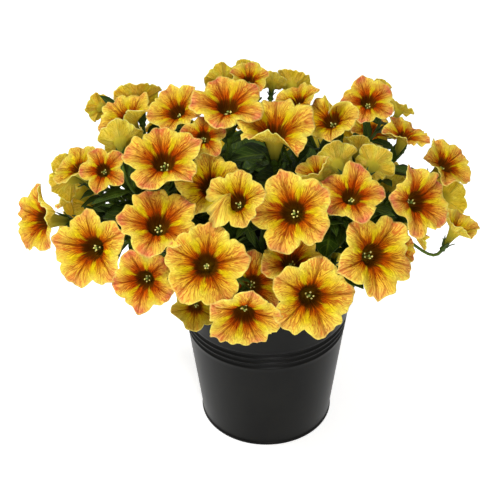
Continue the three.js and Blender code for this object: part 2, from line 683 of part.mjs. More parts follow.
function makePlant(number, blooms, others) {
  const crown = crownPlace(number);
  const solids = [crownSolid(crown)];
  const leafSpots = [];
  groupsFor(crown, blooms).forEach((group, fork) => {
    const branchFor = ([share, bend]) => branchCurve(crown, branchTip(crown, group, share), bend, fork);
    const branchWay = firstFit(BRANCH_WAYS, (way) => clears(branchSolid(branchFor(way)), others));
    if (branchWay === null) throw new Error(`no clear branch ${fork} in plant ${number}`);
    const branch = branchFor(branchWay);
    const own = solids.slice();
    solids.push(branchSolid(branch));
    leafSpots.push([branch, 0.5, 1.1], [branch, 1, 1]);
    group.forEach((bloom, k) => {
      const curveFor = ([back, ...bends]) => {
        const at = Math.min(1, 1 - (0.55 * k) / BRANCH_BLOOMS - back);
        return stalkCurve({ place: branch.getPoint(at), heading: branch.getTangent(at) }, bloom, bends);
      };
      const free = (way) => clears(stalkSolid(curveFor(way), bloom), others);
      const apart = (way) => clears(stalkSolid(curveFor(way), bloom, 0.35), own);
      const way = firstFit(STALK_WAYS, (w) => apart(w) && free(w)) ?? firstFit(STALK_WAYS, free);
      if (way === null) throw new Error(`no clear stalk for the bloom at ${bloom.mouth.toArray()}`);
      const stalk = stalkSolid(curveFor(way), bloom);
      own.push(stalk);
      solids.push(stalk);
      if (k % 3 === 1) leafSpots.push([curveFor(way), 1 / STALK_STEPS, 0.9]);
    });
  });
  let turn = 0;
  leafSpots.forEach(([curve, at, share], spot) => {
    for (let attempt = 0; attempt < LEAF_TRIES; attempt += 1) {
      turn += GOLDEN_ANGLE;
      const leaf = leafAt(curve, at, turn, share * spread(number * 100 + spot, 70, 0.85, 1.15));
      const base = leaf.base.clone().addScaledVector(leaf.heading, 6);
      const outer = { ...leaf, base, length: leaf.length - 6 };
      if (clears(leafSolid(leaf), others) && clears(leafSolid(outer), solids)) {
        solids.push(leafSolid(leaf));
        break;
      }
    }
  });
  return mainBody(wasm.Manifold.union(solids));
}

// The largest body of a join: loose scraps are dropped and any pocket sealed inside it is filled.
function mainBody(solid) {
  return solid.decompose().reduce((most, body) => (body.volume() > most.volume() ? body : most));
}

function leafAt(curve, at, turn, scale) {
  const tangent = curve.getTangent(at);
  const level = new THREE.Vector3().crossVectors(tangent, UP).normalize();
  const above = new THREE.Vector3().crossVectors(level, tangent);
  const outward = level.multiplyScalar(Math.cos(turn)).addScaledVector(above, Math.sin(turn));
  const heading = outward.clone().multiplyScalar(0.8).addScaledVector(tangent, 0.6).normalize();
  const across = new THREE.Vector3().crossVectors(heading, UP).normalize();
  const normal = new THREE.Vector3().crossVectors(across, heading);
  return {
    base: curve.getPoint(at).addScaledVector(heading, -0.3),
    heading,
    normal,
    length: LEAF_LENGTH * scale,
    width: LEAF_WIDTH * scale,
  };
}

function plantFor(bloom) {
  const foot = pointAt(bloom, -TUBE_LENGTH);
  const angle = THREE.MathUtils.radToDeg(Math.atan2(foot.y, foot.x - DOME_CENTRE.x));
  const turnTo = CROWN_ANGLES.map((crown) => Math.abs(((angle - crown + 540) % 360) - 180));
  return turnTo.indexOf(Math.min(...turnTo));
}

const petchoa = new THREE.Group();
const pot = makePot();
const soil = makeSoil();
petchoa.add(meshOf(pot, 'pot', LOOKS.metal));
petchoa.add(meshOf(soil, 'soil', LOOKS.soil));
const { blooms, solids } = makeBlooms();
const others = [pot, soil, ...solids];
CROWN_ANGLES.forEach((_, number) => {
  const own = blooms.filter((bloom) => plantFor(bloom) === number);
  const plant = makePlant(number, own, others);
  others.push(plant);
  petchoa.add(meshOf(plant, `plant_${number + 1}`, LOOKS.leaf));
});
solids.forEach((solid, index) => {
  const far = index - SEEN.length + 1;
  const name = far > 0 ? `far_blooms_${far}` : `bloom_${String(index + 1).padStart(2, '0')}`;
  petchoa.add(meshOf(solid, name, LOOKS.petal));
});

export default petchoa;
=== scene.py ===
from math import atan2, ceil, cos, degrees, exp, hypot, pi, radians, sin, tau
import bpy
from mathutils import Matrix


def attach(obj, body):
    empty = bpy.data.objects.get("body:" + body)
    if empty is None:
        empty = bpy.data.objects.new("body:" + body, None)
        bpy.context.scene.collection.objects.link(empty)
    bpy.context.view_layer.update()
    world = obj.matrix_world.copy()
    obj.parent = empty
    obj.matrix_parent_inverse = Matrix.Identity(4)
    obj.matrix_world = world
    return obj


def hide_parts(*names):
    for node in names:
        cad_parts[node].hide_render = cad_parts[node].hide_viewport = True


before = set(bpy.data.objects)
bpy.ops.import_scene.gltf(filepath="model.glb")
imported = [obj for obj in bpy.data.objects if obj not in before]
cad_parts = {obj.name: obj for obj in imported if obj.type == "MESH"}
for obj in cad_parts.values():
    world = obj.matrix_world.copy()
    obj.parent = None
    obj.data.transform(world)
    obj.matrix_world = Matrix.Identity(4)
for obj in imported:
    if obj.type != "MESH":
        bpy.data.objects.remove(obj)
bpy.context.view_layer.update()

from types import SimpleNamespace

import bmesh
import bpy
import numpy as np
from mathutils import Euler, Vector
from mathutils.bvhtree import BVHTree
from mathutils.kdtree import KDTree

MM = 0.001
GOLDEN_ANGLE = radians(137.508)

# Sizes shared with the solids, in millimetres
POT_HEIGHT, BASE_RADIUS, RIM_RADIUS, WALL, FLOOR = 135.0, 51.0, 67.0, 2.4, 2.0
SEAM, SEAM_HEIGHT, RIM_BEAD = 0.9, 3.4, 2.2
GROOVES, GROOVE_HALF, GROOVE_DEPTH = [88.0, 93.4, 98.8], 1.8, 1.2
SOIL_TOP = 121.0
CROWN_RING, CROWN_ANGLES, CROWN_RADIUS = 24.0, [100.0, 220.0, 340.0], 3.4
CROWN_FOOT, CROWN_HEAD = 96.0, 136.0
DOME_CENTRE = np.array([-12.0, 0.0, 172.0])
BLOOM_RADIUS, TUBE_LENGTH, THROAT_RADIUS, THROAT_DEPTH = 27.0, 28.0, 8.4, 17.0
TUBE_FOOT = (2.6, 5.0)
LIMB_MIDDLE, LIMB_EDGE, PETAL_THICKNESS = 17.5, 5.4, 0.8
PETALS, RIM_POINTS, MIDDLE_POINTS = 5, 20, 10
CALYX_DEPTH = 3.2
BRANCH_RADIUS, STALK_RADIUS, FORK_PITCH, BRANCH_BLOOMS = 2.0, 1.3, 2.4, 5
BRANCH_STEPS, STALK_STEPS = 4, 3
BRANCH_WAYS = [(0.62, 8), (0.62, 0), (0.5, 8), (0.5, 0), (0.62, 20), (0.4, 4), (0.75, 8), (0.3, 0)]
STALK_WAYS = [
    (back, curl, lift, swing)
    for lift in (0, -12, 12, -24, 24)
    for swing in (0, -12, 12, -24, 24)
    for back in (0, 0.06, -0.05)
    for curl in (0.3, 0.45, 0.15)
]
LEAF_LENGTH, LEAF_WIDTH, LEAF_DROOP, LEAF_FOLD, LEAF_WAIST = 42.0, 25.0, 0.22, 0.14, 0.42
LEAF_THICKNESS, LEAF_TRIES = 0.7, 9
# How many of a leaf's 8 corners have to be found for it to be the solid's own
LEAF_MATCH = 5
FAR_RADIUS = 23.0

# How many corners go round each kind of round part, and how many rings or rows along it
CROWN_SIDES, BRANCH_SIDES, STALK_SIDES, THREAD_SIDES, CUP_SIDES = 14, 9, 7, 5, 20
CROWN_RINGS, BRANCH_RINGS, STALK_RINGS, THREAD_RINGS, SEPAL_ROWS = 12, 14, 13, 6, 9
POT_SIDES, SOIL_SIDES, SOIL_RINGS = 168, 120, 34
# Rows along and points across a large leaf and a small one
LEAF_GRID, SPRIG_GRID = (15, 9), (9, 5)

UP = np.array([0.0, 0.0, 1.0])
SIDE = np.array([1.0, 0.0, 0.0])
SCENE = bpy.context.scene


def chance(a, b):
    """A repeatable number from 0 to 1 for two whole numbers, the same as the solids use."""
    mask = 0xFFFFFFFF
    state = (((a + 11) * 73856093) ^ ((b + 7) * 19349663)) & mask
    for _ in range(3):
        state = ((state ^ (state >> 15)) * 2246822519 + 374761393) & mask
    return (state >> 8) / 0x1000000


def spread(a, b, low, high):
    return low + (high - low) * chance(a, b)


def draws(seed, first, low, high):
    """Five random numbers, one for each petal."""
    return np.array([spread(seed, first + k, low, high) for k in range(PETALS)])


def unit(v):
    """A direction, or each of an array of them, made 1 long."""
    return v / np.linalg.norm(v, axis=-1, keepdims=True)


def turns(count):
    """That many angles, evenly round a circle."""
    return tau * np.arange(count) / count


def circle(first, second, angles):
    """Points round a circle of radius 1 in the plane of two directions."""
    return np.outer(np.cos(angles), first) + np.outer(np.sin(angles), second)


def about_axis(radius, angle, height):
    """Points at a radius, an angle and a height about the z axis."""
    return np.column_stack([radius * np.cos(angle), radius * np.sin(angle), height + 0 * angle])


def about_bloom(bloom, radius, angle, height):
    """A point at a radius, an angle and a height about a bloom's own axis."""
    x, y, z = bloom.axes
    return bloom.mouth + radius * cos(angle) * x + radius * sin(angle) * y + height * z


def wave(angle, seed, orders, power=1.0):
    """A smooth closed wave round a circle, of random phases, about 1 high."""
    total = np.zeros_like(angle)
    for n in orders:
        size = spread(seed, 300 + n, 0.4, 1.0) / n ** power
        total += size * np.sin(n * angle + spread(seed, 400 + n, 0, tau))
    return total / sum(0.7 / n ** power for n in orders)


# Reading the blooms' places from the frame

# How near, in millimetres, two measures or corners are that count as the same
WELD, EVEN_EDGES, KNOWN_EDGE, ON_EDGE, ON_CORNER = 0.002, 0.003, 0.02, 0.05, 0.004


def welded(name):
    mesh = bmesh.new()
    mesh.from_mesh(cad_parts[name].data)
    bmesh.ops.remove_doubles(mesh, verts=mesh.verts, dist=WELD * MM)
    return mesh


def poles_of(mesh):
    """Vertices with five equal edges, with that length, in millimetres."""
    found = []
    for vert in mesh.verts:
        lengths = [edge.calc_length() / MM for edge in vert.link_edges]
        if len(lengths) == PETALS and max(lengths) - min(lengths) < EVEN_EDGES:
            found.append((vert, sum(lengths) / PETALS))
    return found


def axes_of(mesh):
    """(throat pole, size, mouth, facing) of each bloom in a mesh."""
    found = []
    poles = poles_of(mesh)
    for throat, deep in poles:
        for foot, short in poles:
            size = (throat.co - foot.co).length / MM / (TUBE_LENGTH - THROAT_DEPTH)
            wanted = hypot(THROAT_RADIUS * size - 0.5, THROAT_DEPTH * size + 0.5)
            if max(abs(short - size * hypot(*TUBE_FOOT)), abs(deep - wanted)) < KNOWN_EDGE:
                facing = unit(np.array(throat.co - foot.co))
                mouth = np.array(throat.co) / MM + facing * THROAT_DEPTH * size
                found.append((throat, size, mouth, facing))
    return found


def rings_from(pole):
    """The vertices one edge, two edges and more away from a pole, ring by ring."""
    seen, rings = {pole}, [[pole]]
    while rings[-1]:
        near = [edge.other_vert(vert) for vert in rings[-1] for edge in vert.link_edges]
        rings.append([vert for vert in dict.fromkeys(near) if vert not in seen])
        seen.update(near)
    return rings[:-1]


def local_frame(facing, side):
    """A bloom's own three directions: to its first petal, across it, and the way it faces."""
    side = unit(side - facing * side.dot(facing))
    return np.array([side, np.cross(facing, side), facing])


def by_angle(ring, count, mouth, axes):
    """A ring's (radius, height) at each step round the axis."""
    table = np.zeros((count, 2))
    for vert in ring:
        x, y, z = axes @ (np.array(vert.co) / MM - mouth)
        table[round(atan2(y, x) / tau * count) % count] = hypot(x, y), z
    return table


def seen_bloom(name, number):
    """A bloom of the photographed side: its place, and its limb's edge and middle."""
    mesh = welded(name)
    throat, size, mouth, facing = axes_of(mesh)[0]
    rings = rings_from(throat)
    side = np.array(rings[1][0].co) / MM - mouth
    axes = local_frame(facing, side)

    def between(front, back, count):
        """The mean of a ring on the limb's front and the ring behind it."""
        return (by_angle(rings[front], count, mouth, axes) + by_angle(rings[back], count, mouth, axes)) / 2

    plain = len(rings[2]) == RIM_POINTS
    edge = between(2, 3, RIM_POINTS) if plain else between(3, 4, RIM_POINTS)
    middle = None if plain else between(2, 5, MIDDLE_POINTS)
    mesh.free()
    return SimpleNamespace(number=number, size=size, mouth=mouth, axes=axes, edge=edge, middle=middle)


def seeded_edge(number, notch, radius):
    """The (radius, height) of each point of a far bloom's edge, by the rule that the solids use."""
    tips, seams = draws(number, 0, -0.16, 0.06), draws(number, 10, -0.01, 0.11)
    edge = []
    for k in range(RIM_POINTS):
        tip, seam = tips[((k + 1) // 4) % PETALS], seams[(k // 4) % PETALS]
        wobble = spread(number, k + 20, -0.03, 0.03)
        if k % 4 == 0:
            reach, lift = 1.02 + wobble, tip
        elif k % 4 == 2:
            reach, lift = 1 - notch + wobble, seam
        else:
            reach, lift = 0.99 - 0.25 * notch + wobble, (tip + seam) / 2 + spread(number, k + 50, -0.05, 0.05)
        edge.append((reach * radius, LIMB_EDGE * radius / BLOOM_RADIUS + lift * radius + PETAL_THICKNESS / 2))
    return np.array(edge)


def far_blooms(name, number):
    """The three blooms of a far cluster, told apart by their sizes and turned as their edges lie."""
    mesh = welded(name)
    points = np.array([vert.co for vert in mesh.verts]) / MM
    blooms = []
    for throat, size, mouth, facing in axes_of(mesh):
        radius = size * BLOOM_RADIUS
        off = {n: abs(radius - FAR_RADIUS * spread(n, 91, 0.94, 1.06)) for n in range(number, number + 3)}
        own = min(off, key=off.get)
        edge = seeded_edge(own, spread(own, 92, 0.12, 0.17), radius)
        rim = about_axis(edge[:, 0], turns(RIM_POINTS), edge[:, 1] + PETAL_THICKNESS / 2)

        def matched(axes):
            """How many points of the edge, turned that way, are corners of the cluster."""
            away = np.linalg.norm((rim @ axes + mouth)[:, None] - points[None], axis=2)
            return (away.min(1) < ON_EDGE).sum()

        sides = [np.array(other.other_vert(throat).co) / MM - mouth for other in throat.link_edges]
        axes = max((local_frame(facing, side) for side in sides), key=matched)
        blooms.append(SimpleNamespace(number=own, size=size, mouth=mouth, axes=axes, edge=edge, middle=None))
    mesh.free()
    return sorted(blooms, key=lambda bloom: bloom.number)


seen_names = sorted(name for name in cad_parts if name.startswith("bloom_"))
far_names = sorted(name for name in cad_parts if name.startswith("far_blooms_"))
blooms_of = {name: [seen_bloom(name, n)] for n, name in enumerate(seen_names)}
for n, name in enumerate(far_names):
    blooms_of[name] = far_blooms(name, len(seen_names) + 3 * n)
blooms = [bloom for members in blooms_of.values() for bloom in members]

# Meshes from rows of points


def new_object(name, data):
    made = bpy.data.objects.new(name, data)
    SCENE.collection.objects.link(made)
    return made


class Parts:
    """Gathers surfaces, with their attributes, into one mesh."""

    def __init__(self):
        self.points, self.faces, self.slots, self.marks, self.count = [], [], [], [], 0

    def add(self, points, faces, marks, slot):
        self.points.append(np.asarray(points, float))
        self.faces.extend([tuple(self.count + i for i in face) for face in faces])
        self.slots.extend([slot] * len(faces))
        self.marks.append(np.asarray(marks, float))
        self.count += len(points)

    def rows(self, rows, marks, slot=0):
        """A closed skin over rows of points round an axis; a row of one point is a pole."""
        starts = np.cumsum([0] + [len(row) for row in rows]).tolist()
        faces = []
        for low, high, a, b in zip(starts, starts[1:], rows, rows[1:]):
            n = max(len(a), len(b))
            for i in range(n):
                j = (i + 1) % n
                near = (low + i, low + j) if len(a) > 1 else (low,)
                far = (high + j, high + i) if len(b) > 1 else (high,)
                faces.append(near + far)
        self.add(np.vstack(rows), faces, np.vstack(marks), slot)

    def plain_rows(self, rows, mark, slot=0):
        """The same, with one mark for all its points."""
        self.rows(rows, [np.tile(mark, (len(row), 1)) for row in rows], slot)

    def blade(self, grid, thickness, normals, marks, slot=0):
        """A closed sheet of one thickness over a grid of points."""
        n, m = grid.shape[:2]
        top = (grid + normals * thickness / 2).reshape(-1, 3)
        under = (grid - normals * thickness / 2).reshape(-1, 3)
        back, faces = n * m, []
        for row in range(n - 1):
            for i in range(row * m, row * m + m - 1):
                corners = (i, i + 1, i + m + 1, i + m)
                faces += [corners, tuple(back + corner for corner in reversed(corners))]
        rim = [*range(m), *range(2 * m - 1, back, m), *range(back - 2, back - m - 1, -1)]
        rim += range(back - 2 * m, 0, -m)
        faces += [(b, a, back + a, back + b) for a, b in zip(rim, rim[1:] + rim[:1])]
        flat = marks.reshape(-1, marks.shape[-1])
        below = flat.copy()
        below[:, -1] = 1
        self.add(np.vstack([top, under]), faces, np.vstack([flat, below]), slot)

    def piece(self, name, materials, node_names, slot_name):
        mesh = bpy.data.meshes.new(name)
        mesh.from_pydata((np.vstack(self.points) * MM).tolist(), [], self.faces)
        mesh.shade_smooth()
        mesh.polygons.foreach_set("material_index", self.slots)
        marks = np.vstack(self.marks)
        place = mesh.attributes.new("place", "FLOAT_VECTOR", "POINT")
        place.data.foreach_set("vector", marks[:, :3].ravel())
        for k, label in enumerate(["tone", "under"]):
            layer = mesh.attributes.new(label, "FLOAT", "POINT")
            layer.data.foreach_set("value", marks[:, 3 + k])
        for material in materials:
            mesh.materials.append(material)
        mesh.update()
        piece = new_object(name, mesh)
        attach(piece, "root")
        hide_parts(*node_names)


def as_grid(columns, *tables):
    """Lists with an entry for each point of a sheet, as arrays of its rows."""
    return [np.array(table, float).reshape(-1, columns, len(table[0])) for table in tables]


def through(a, b, c, d, t):
    """The place t of the way from b to c on a smooth curve through four values."""
    bend, twist = 2 * a - 5 * b + 4 * c - d, 3 * b - a - 3 * c + d
    return 0.5 * (2 * b + (c - a) * t + bend * t * t + twist * t ** 3)


def smooth_steps(values, positions):
    """Values at positions 0 to 1 along a smooth curve through them."""
    values = np.asarray(values, float)
    n = len(values) - 1
    padded = np.concatenate([[2 * values[0] - values[1]], values, [2 * values[-1] - values[-2]]])
    starts = [min(int(p * n), n - 1) for p in positions]
    return np.array([through(*padded[i:i + 4], p * n - i) for i, p in zip(starts, positions)])


def round_spline(values, count):
    """Values given at even steps round a circle, at count even steps along a smooth closed curve."""
    n = len(values)
    places = np.arange(count) * n / count
    i = np.floor(places + 1e-9).astype(int)
    t = (places - i).reshape(-1, *[1] * (values.ndim - 1))
    return through(*(values[(i + k) % n] for k in (-1, 0, 1, 2)), t)


# Petals

ROUND, LIMB_STEPS = 120, 13
# Rows of the throat and of the tube at full size: radius, height and, in the throat, share of the limb
THROAT_ROWS = [(1.6, -16.6, 0.05), (3.3, -12.8, 0.1), (4.8, -8.6, 0.16), (6.2, -4.6, 0.22), (7.3, -1.8, 0.27)]
TUBE_ROWS = [(7.1, -3.3), (5.7, -7.6), (4.5, -12.6), (3.4, -18), (2.6, -23), (1.6, -26.5)]
SHEET = 0.45
# The material slots of a bloom's anthers and stigma, and of a stem's sepals
ANTHER_SLOT, STIGMA_SLOT, SEPAL_SLOT = 1, 2, 1
# Where the limb starts, as a share of its radius, and where its steps pass its middle
THROAT_MARK, MIDDLE_SHARE = 0.31, 0.49
# How strongly petals end in points, part at their seams and are scalloped, as shares of the outer limb
POINT_RANGE, NOTCH_RANGE, SCALLOP = (-0.02, 0.17), (0.18, 0.44), 0.19
# The least roughness of an edge, and the radii in millimetres between which it grows to its full one
LEAST_ROUGH, SMOOTH_RADIUS, ROUGH_RADIUS = 0.3, 8, 26
# How far each kind of wave lifts a limb of full size, in millimetres
TILT, LEVEL, CREASE, RIDGE, SWELL, WAVES, PLEATS, FLUTTER = 2.6, 1.6, 1.3, 0.7, 1.2, 2.4, 0.24, 2.2


def by_petal(angle):
    """For each angle, the petal it is on, and how far aside of its middle it lies, plain and signed."""
    turn = angle * PETALS / tau
    nearest = np.round(turn)
    aside = 2 * (turn - nearest)
    return nearest.astype(int) % PETALS, np.abs(aside), aside


def outline(bloom, angle):
    """For each angle, how far the outer limb reaches, as a share of its plain reach."""
    seed = bloom.number
    petal, lobe, _ = by_petal(angle)
    seam = np.floor(angle * PETALS / tau).astype(int) % PETALS
    rough = (bloom.size * BLOOM_RADIUS - SMOOTH_RADIUS) / (ROUGH_RADIUS - SMOOTH_RADIUS)
    rough = min(1, max(LEAST_ROUGH, rough))
    points = draws(seed, 30, *POINT_RANGE)[petal] * rough
    notches = draws(seed, 35, *NOTCH_RANGE)[seam] * rough
    scallop = 1 + SCALLOP * rough * wave(angle, seed + 40, [9, 12, 15, 19, 24, 31], 0.8)
    scallop = scallop - notches * np.maximum(0, 1 - (1 - lobe) / 0.2) ** 1.4
    return scallop + points * np.maximum(0, 1 - lobe / 0.17) ** 1.3


def limb_profiles(bloom, angle):
    """For each angle, the (radius, height) of the limb's middle surface from the throat to the edge."""
    size = bloom.size
    edge = round_spline(bloom.edge, ROUND)
    throat = np.tile([0.96 * THROAT_RADIUS * size, 0.2 * size], (ROUND, 1))
    if bloom.middle is None:
        share = (LIMB_MIDDLE / BLOOM_RADIUS - THROAT_MARK) / (1 - THROAT_MARK)
        middle = throat + (edge - throat) * share + np.array([0, 0.35 * size])
    else:
        middle = round_spline(bloom.middle, ROUND)
    out = unit(middle - throat)
    rise = unit(out * 0.75 + np.array([0.35, 0.55]))
    inner = np.linalg.norm(middle - throat, axis=1)[:, None]
    outer = np.linalg.norm(edge - middle, axis=1)[:, None]
    edge = middle + (edge - middle) * outline(bloom, angle)[:, None]
    rows = []
    for u in np.linspace(0, 1, LIMB_STEPS):
        if u <= MIDDLE_SHARE:
            t = u / MIDDLE_SHARE
            h00, h10 = 2 * t ** 3 - 3 * t ** 2 + 1, t ** 3 - 2 * t ** 2 + t
            h01, h11 = -2 * t ** 3 + 3 * t ** 2, t ** 3 - t ** 2
            row = h00 * throat + h10 * inner * rise + h01 * middle + h11 * inner * out
        else:
            t = (u - MIDDLE_SHARE) / (1 - MIDDLE_SHARE)
            control = middle + out * outer * 0.48
            row = (1 - t) ** 2 * middle + 2 * t * (1 - t) * control + t ** 2 * edge
        rows.append(row)
    return np.array(rows)


def ruffle(bloom, angle, u):
    """How far the limb stands off its plain form, in millimetres."""
    seed, size = bloom.number, bloom.size
    petal, lobe, aside = by_petal(angle)
    tilt = draws(seed, 60, -TILT, TILT)[petal] * np.sin(pi * aside) * u ** 1.3
    shelf = draws(seed, 65, -LEVEL, LEVEL)[petal] * np.clip((1 - lobe) / 0.16, 0, 1) * u ** 1.5
    crease = -CREASE * np.exp(-(lobe / 0.1) ** 2) * sin(pi * min(1, 0.15 + 0.75 * u)) ** 0.5
    seam = RIDGE * np.exp(-((1 - lobe) / 0.14) ** 2) * sin(pi * min(1, 0.1 + 0.9 * u))
    swell = SWELL * np.sin(pi * lobe) * u
    waves = WAVES * u ** 1.7 * wave(angle, seed + 80, [5, 6, 7, 8, 11, 13], 0.5)
    pleats = PLEATS * u * wave(angle, seed + 160, [22, 27, 31, 36], 0)
    outer = max(0, (u - 0.55) / 0.45) ** 1.7
    flutter = FLUTTER * outer * wave(angle, seed + 240, [10, 13, 16, 19, 23], 0.6)
    return size * (shelf + tilt + crease + seam + swell + waves + pleats + flutter)


def petal_rows(bloom):
    """The skin of a bloom: up the tube's outside, out under the limb, back over it and down the throat."""
    size, seed = bloom.size, bloom.number
    angle = turns(ROUND)
    limb = limb_profiles(bloom, angle)
    slope = unit(np.gradient(limb, axis=0))
    off = np.stack([-slope[:, :, 1], slope[:, :, 0]], axis=2)
    steps = np.linspace(0, 1, LIMB_STEPS)
    limb = limb + off * np.array([ruffle(bloom, angle, u) for u in steps])[:, :, None]
    front = limb + off * SHEET / 2
    back = limb - off * SHEET / 2
    rows, marks = [], []

    def put(row, reach, under):
        """Places a row of (radius, height), with its marks."""
        at = angle[:len(row)]
        rows.append(about_axis(row[:, 0], at, row[:, 1]) @ bloom.axes + bloom.mouth)
        looks = np.tile([bloom.warm, under], (len(row), 1))
        marks.append(np.hstack([about_axis(reach, at, seed * 1.37), looks]))

    def full(radius, height, ribs=0.0):
        return np.column_stack([radius * (1 + ribs * np.cos(2 * PETALS * angle)), height + 0 * angle])

    put(np.array([[0, -TUBE_LENGTH * size]]), 0.0, 1)
    for k, (radius, height) in enumerate(reversed(TUBE_ROWS)):
        put(full(radius * size + 0.3, height * size, 0.02), 0.04 + 0.04 * k, 1)
    for u, row in zip(steps, back):
        put(row, THROAT_MARK + (1 - THROAT_MARK) * u, 1)
    for u, row in zip(reversed(steps), reversed(front)):
        put(row, THROAT_MARK + (1 - THROAT_MARK) * u, 0)
    for radius, height, reach in reversed(THROAT_ROWS):
        put(full(radius * size, height * size), reach, 0)
    put(np.array([[0, -THROAT_DEPTH * size]]), 0.0, 0)
    return rows, marks


def ball(parts, centre, axis, radius, length, mark, slot, sides=8, steps=5):
    """A small egg shape about an axis."""
    axis = unit(axis)
    first = unit(np.cross(axis, SIDE if abs(axis[0]) < 0.8 else UP))
    second = np.cross(axis, first)
    ring = circle(first, second, turns(sides))
    rows = [[centre - axis * length]]
    for turn in pi * np.arange(1, steps) / steps:
        rows.append(centre - axis * length * cos(turn) + ring * radius * sin(turn))
    rows.append([centre + axis * length])
    parts.plain_rows(rows, mark, slot)


def tube(parts, centres, radii, mark, slot, sides, side=None):
    """A round tube along points, closed to a point at both ends. Its rings turn as little as they can."""
    centres = np.asarray(centres, float)
    tangents = unit(np.gradient(centres, axis=0))
    side = np.cross(tangents[0], [0.3, 0.5, 0.8]) if side is None else side
    rows = [centres[:1] - tangents[:1] * radii[0] * 0.6]
    for centre, tangent, radius in zip(centres, tangents, radii):
        side = unit(side - tangent * side.dot(tangent))
        rows.append(centre + circle(side, np.cross(tangent, side), turns(sides)) * radius)
    rows.append(centres[-1:] + tangents[-1:] * radii[-1] * 0.6)
    parts.plain_rows(rows, mark, slot)


def add_stamens(parts, bloom):
    """Five pale anthers on thin threads round a green stigma."""
    size, seed = bloom.size, bloom.number
    x, y, z = bloom.axes

    def at(radius, angle, height):
        return about_bloom(bloom, size * radius, angle, size * height)

    mark = [0, 0, seed, bloom.warm, 0]
    for k in range(PETALS):
        angle = tau * (k + spread(seed, 500 + k, -0.25, 0.25)) / PETALS
        radius, height = spread(seed, 510 + k, 1.2, 3.0), spread(seed, 520 + k, -7.0, -3.6)
        tip = at(radius, angle, height)
        line = [at(0.5, angle, -16), at(0.5 + 0.3 * radius, angle, -12), at(0.85 * radius, angle, -8), tip]
        line = smooth_steps(line, np.linspace(0, 1, THREAD_RINGS))
        tube(parts, line, [0.22 * size] * len(line), mark, STIGMA_SLOT, THREAD_SIDES)
        way = unit(z + 0.7 * (cos(angle + 1) * x + sin(angle + 1) * y))
        ball(parts, tip, way, 0.62 * size, 0.95 * size, mark, ANTHER_SLOT)
    line = np.array([at(0, 0, h) for h in (-16, -12, -8, -5)])
    tube(parts, line, [0.3 * size] * len(line), mark, STIGMA_SLOT, THREAD_SIDES)
    ball(parts, at(0, 0, -4.4), z, 1.0 * size, 0.8 * size, mark, STIGMA_SLOT)

# Green parts, along the same curves as the solids'


class Curve:
    """A smooth curve led by three or four points."""

    def __init__(self, *points):
        self.points = [np.asarray(p, float) for p in points]

    def at(self, t):
        p = self.points
        s = 1 - t
        if len(p) == 3:
            return s * s * p[0] + 2 * s * t * p[1] + t * t * p[2]
        return s ** 3 * p[0] + 3 * s * s * t * p[1] + 3 * s * t * t * p[2] + t ** 3 * p[3]

    def tangent(self, t):
        return unit(self.at(min(1, t + 1e-4)) - self.at(max(0, t - 1e-4)))

    def rings(self, steps, radius_at, end_side):
        """The corners of a three-sided stem along the curve, as the solids have them."""
        side, rings = np.asarray(end_side, float), []
        for step in range(steps, -1, -1):
            t = step / steps
            tangent = self.tangent(t)
            side = unit(side - tangent * side.dot(tangent))
            rings.insert(0, self.at(t) + circle(side, np.cross(tangent, side), turns(3)) * radius_at(t))
        return np.vstack(rings)


class Eased(Curve):
    """A curve drawn towards the straight steps of the solid's own stem, so far that it misses the petals."""

    def __init__(self, curve, steps, room):
        super().__init__(*curve.points)
        self.steps, tried = steps, []
        for self.ease in (0.0, 0.3, 0.5, 0.7, 0.85, 1.0):
            spots = [self.at(t) for t in np.linspace(0, 0.88, 45)]
            clear = min(walls.find_nearest(Vector(spot * MM))[3] for spot in spots)
            tried.append((min(clear, room * MM), -self.ease))
        self.ease = -max(tried)[1]

    def at(self, t):
        whole = min(self.steps - 1, int(t * self.steps))
        a, b = super().at(whole / self.steps), super().at((whole + 1) / self.steps)
        return super().at(t) * (1 - self.ease) + (a + (b - a) * (t * self.steps - whole)) * self.ease


def foot_of(bloom):
    return bloom.mouth - bloom.axes[2] * TUBE_LENGTH * bloom.size


def crown_of(number):
    angle = radians(CROWN_ANGLES[number])
    return np.array([CROWN_RING * cos(angle), CROWN_RING * sin(angle), 0.0])


def plant_for(bloom):
    foot = foot_of(bloom)
    angle = degrees(atan2(foot[1], foot[0] - DOME_CENTRE[0]))
    away = [abs((angle - crown + 540) % 360 - 180) for crown in CROWN_ANGLES]
    return away.index(min(away))


def groups_for(crown, own):
    order = sorted(own, key=lambda b: atan2(foot_of(b)[1] - crown[1], foot_of(b)[0] - crown[0]))
    count = ceil(len(order) / BRANCH_BLOOMS)
    cuts = [int(k * len(order) / count + 0.5) for k in range(count + 1)]
    return [order[a:b] for a, b in zip(cuts, cuts[1:])]


def branch_curve(crown, group, fork, share, bend):
    head = crown + UP * CROWN_HEAD
    middle = sum(foot_of(bloom) for bloom in group) / len(group)
    tip = head + (middle - head) * share
    start = crown + UP * (CROWN_HEAD - fork * FORK_PITCH)
    return Curve(start, (start + tip) / 2 + UP * bend, tip)


def stalk_curve(place, heading, bloom, bend, lift, swing):
    facing = bloom.axes[2]
    foot = foot_of(bloom) - facing * CALYX_DEPTH
    length = np.linalg.norm(foot - place)
    bow = unit(np.cross(foot - place, UP)) * swing + UP * lift
    first = place + heading * bend * length
    first = first + (foot - first) * 0.3 + bow
    return Curve(place, first, foot - facing * max(8, bend * length) + 0.7 * bow, foot)


def matcher(name):
    """A function that counts the points that lie so many millimetres from a node's corners, or on them."""
    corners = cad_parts[name].data.vertices
    tree = KDTree(len(corners))
    for index, vert in enumerate(corners):
        tree.insert(vert.co, index)
    tree.balance()
    return lambda points, away=0.0: sum(
        abs(tree.find(Vector(p * MM))[2] - away * MM) < ON_CORNER * MM for p in points
    )


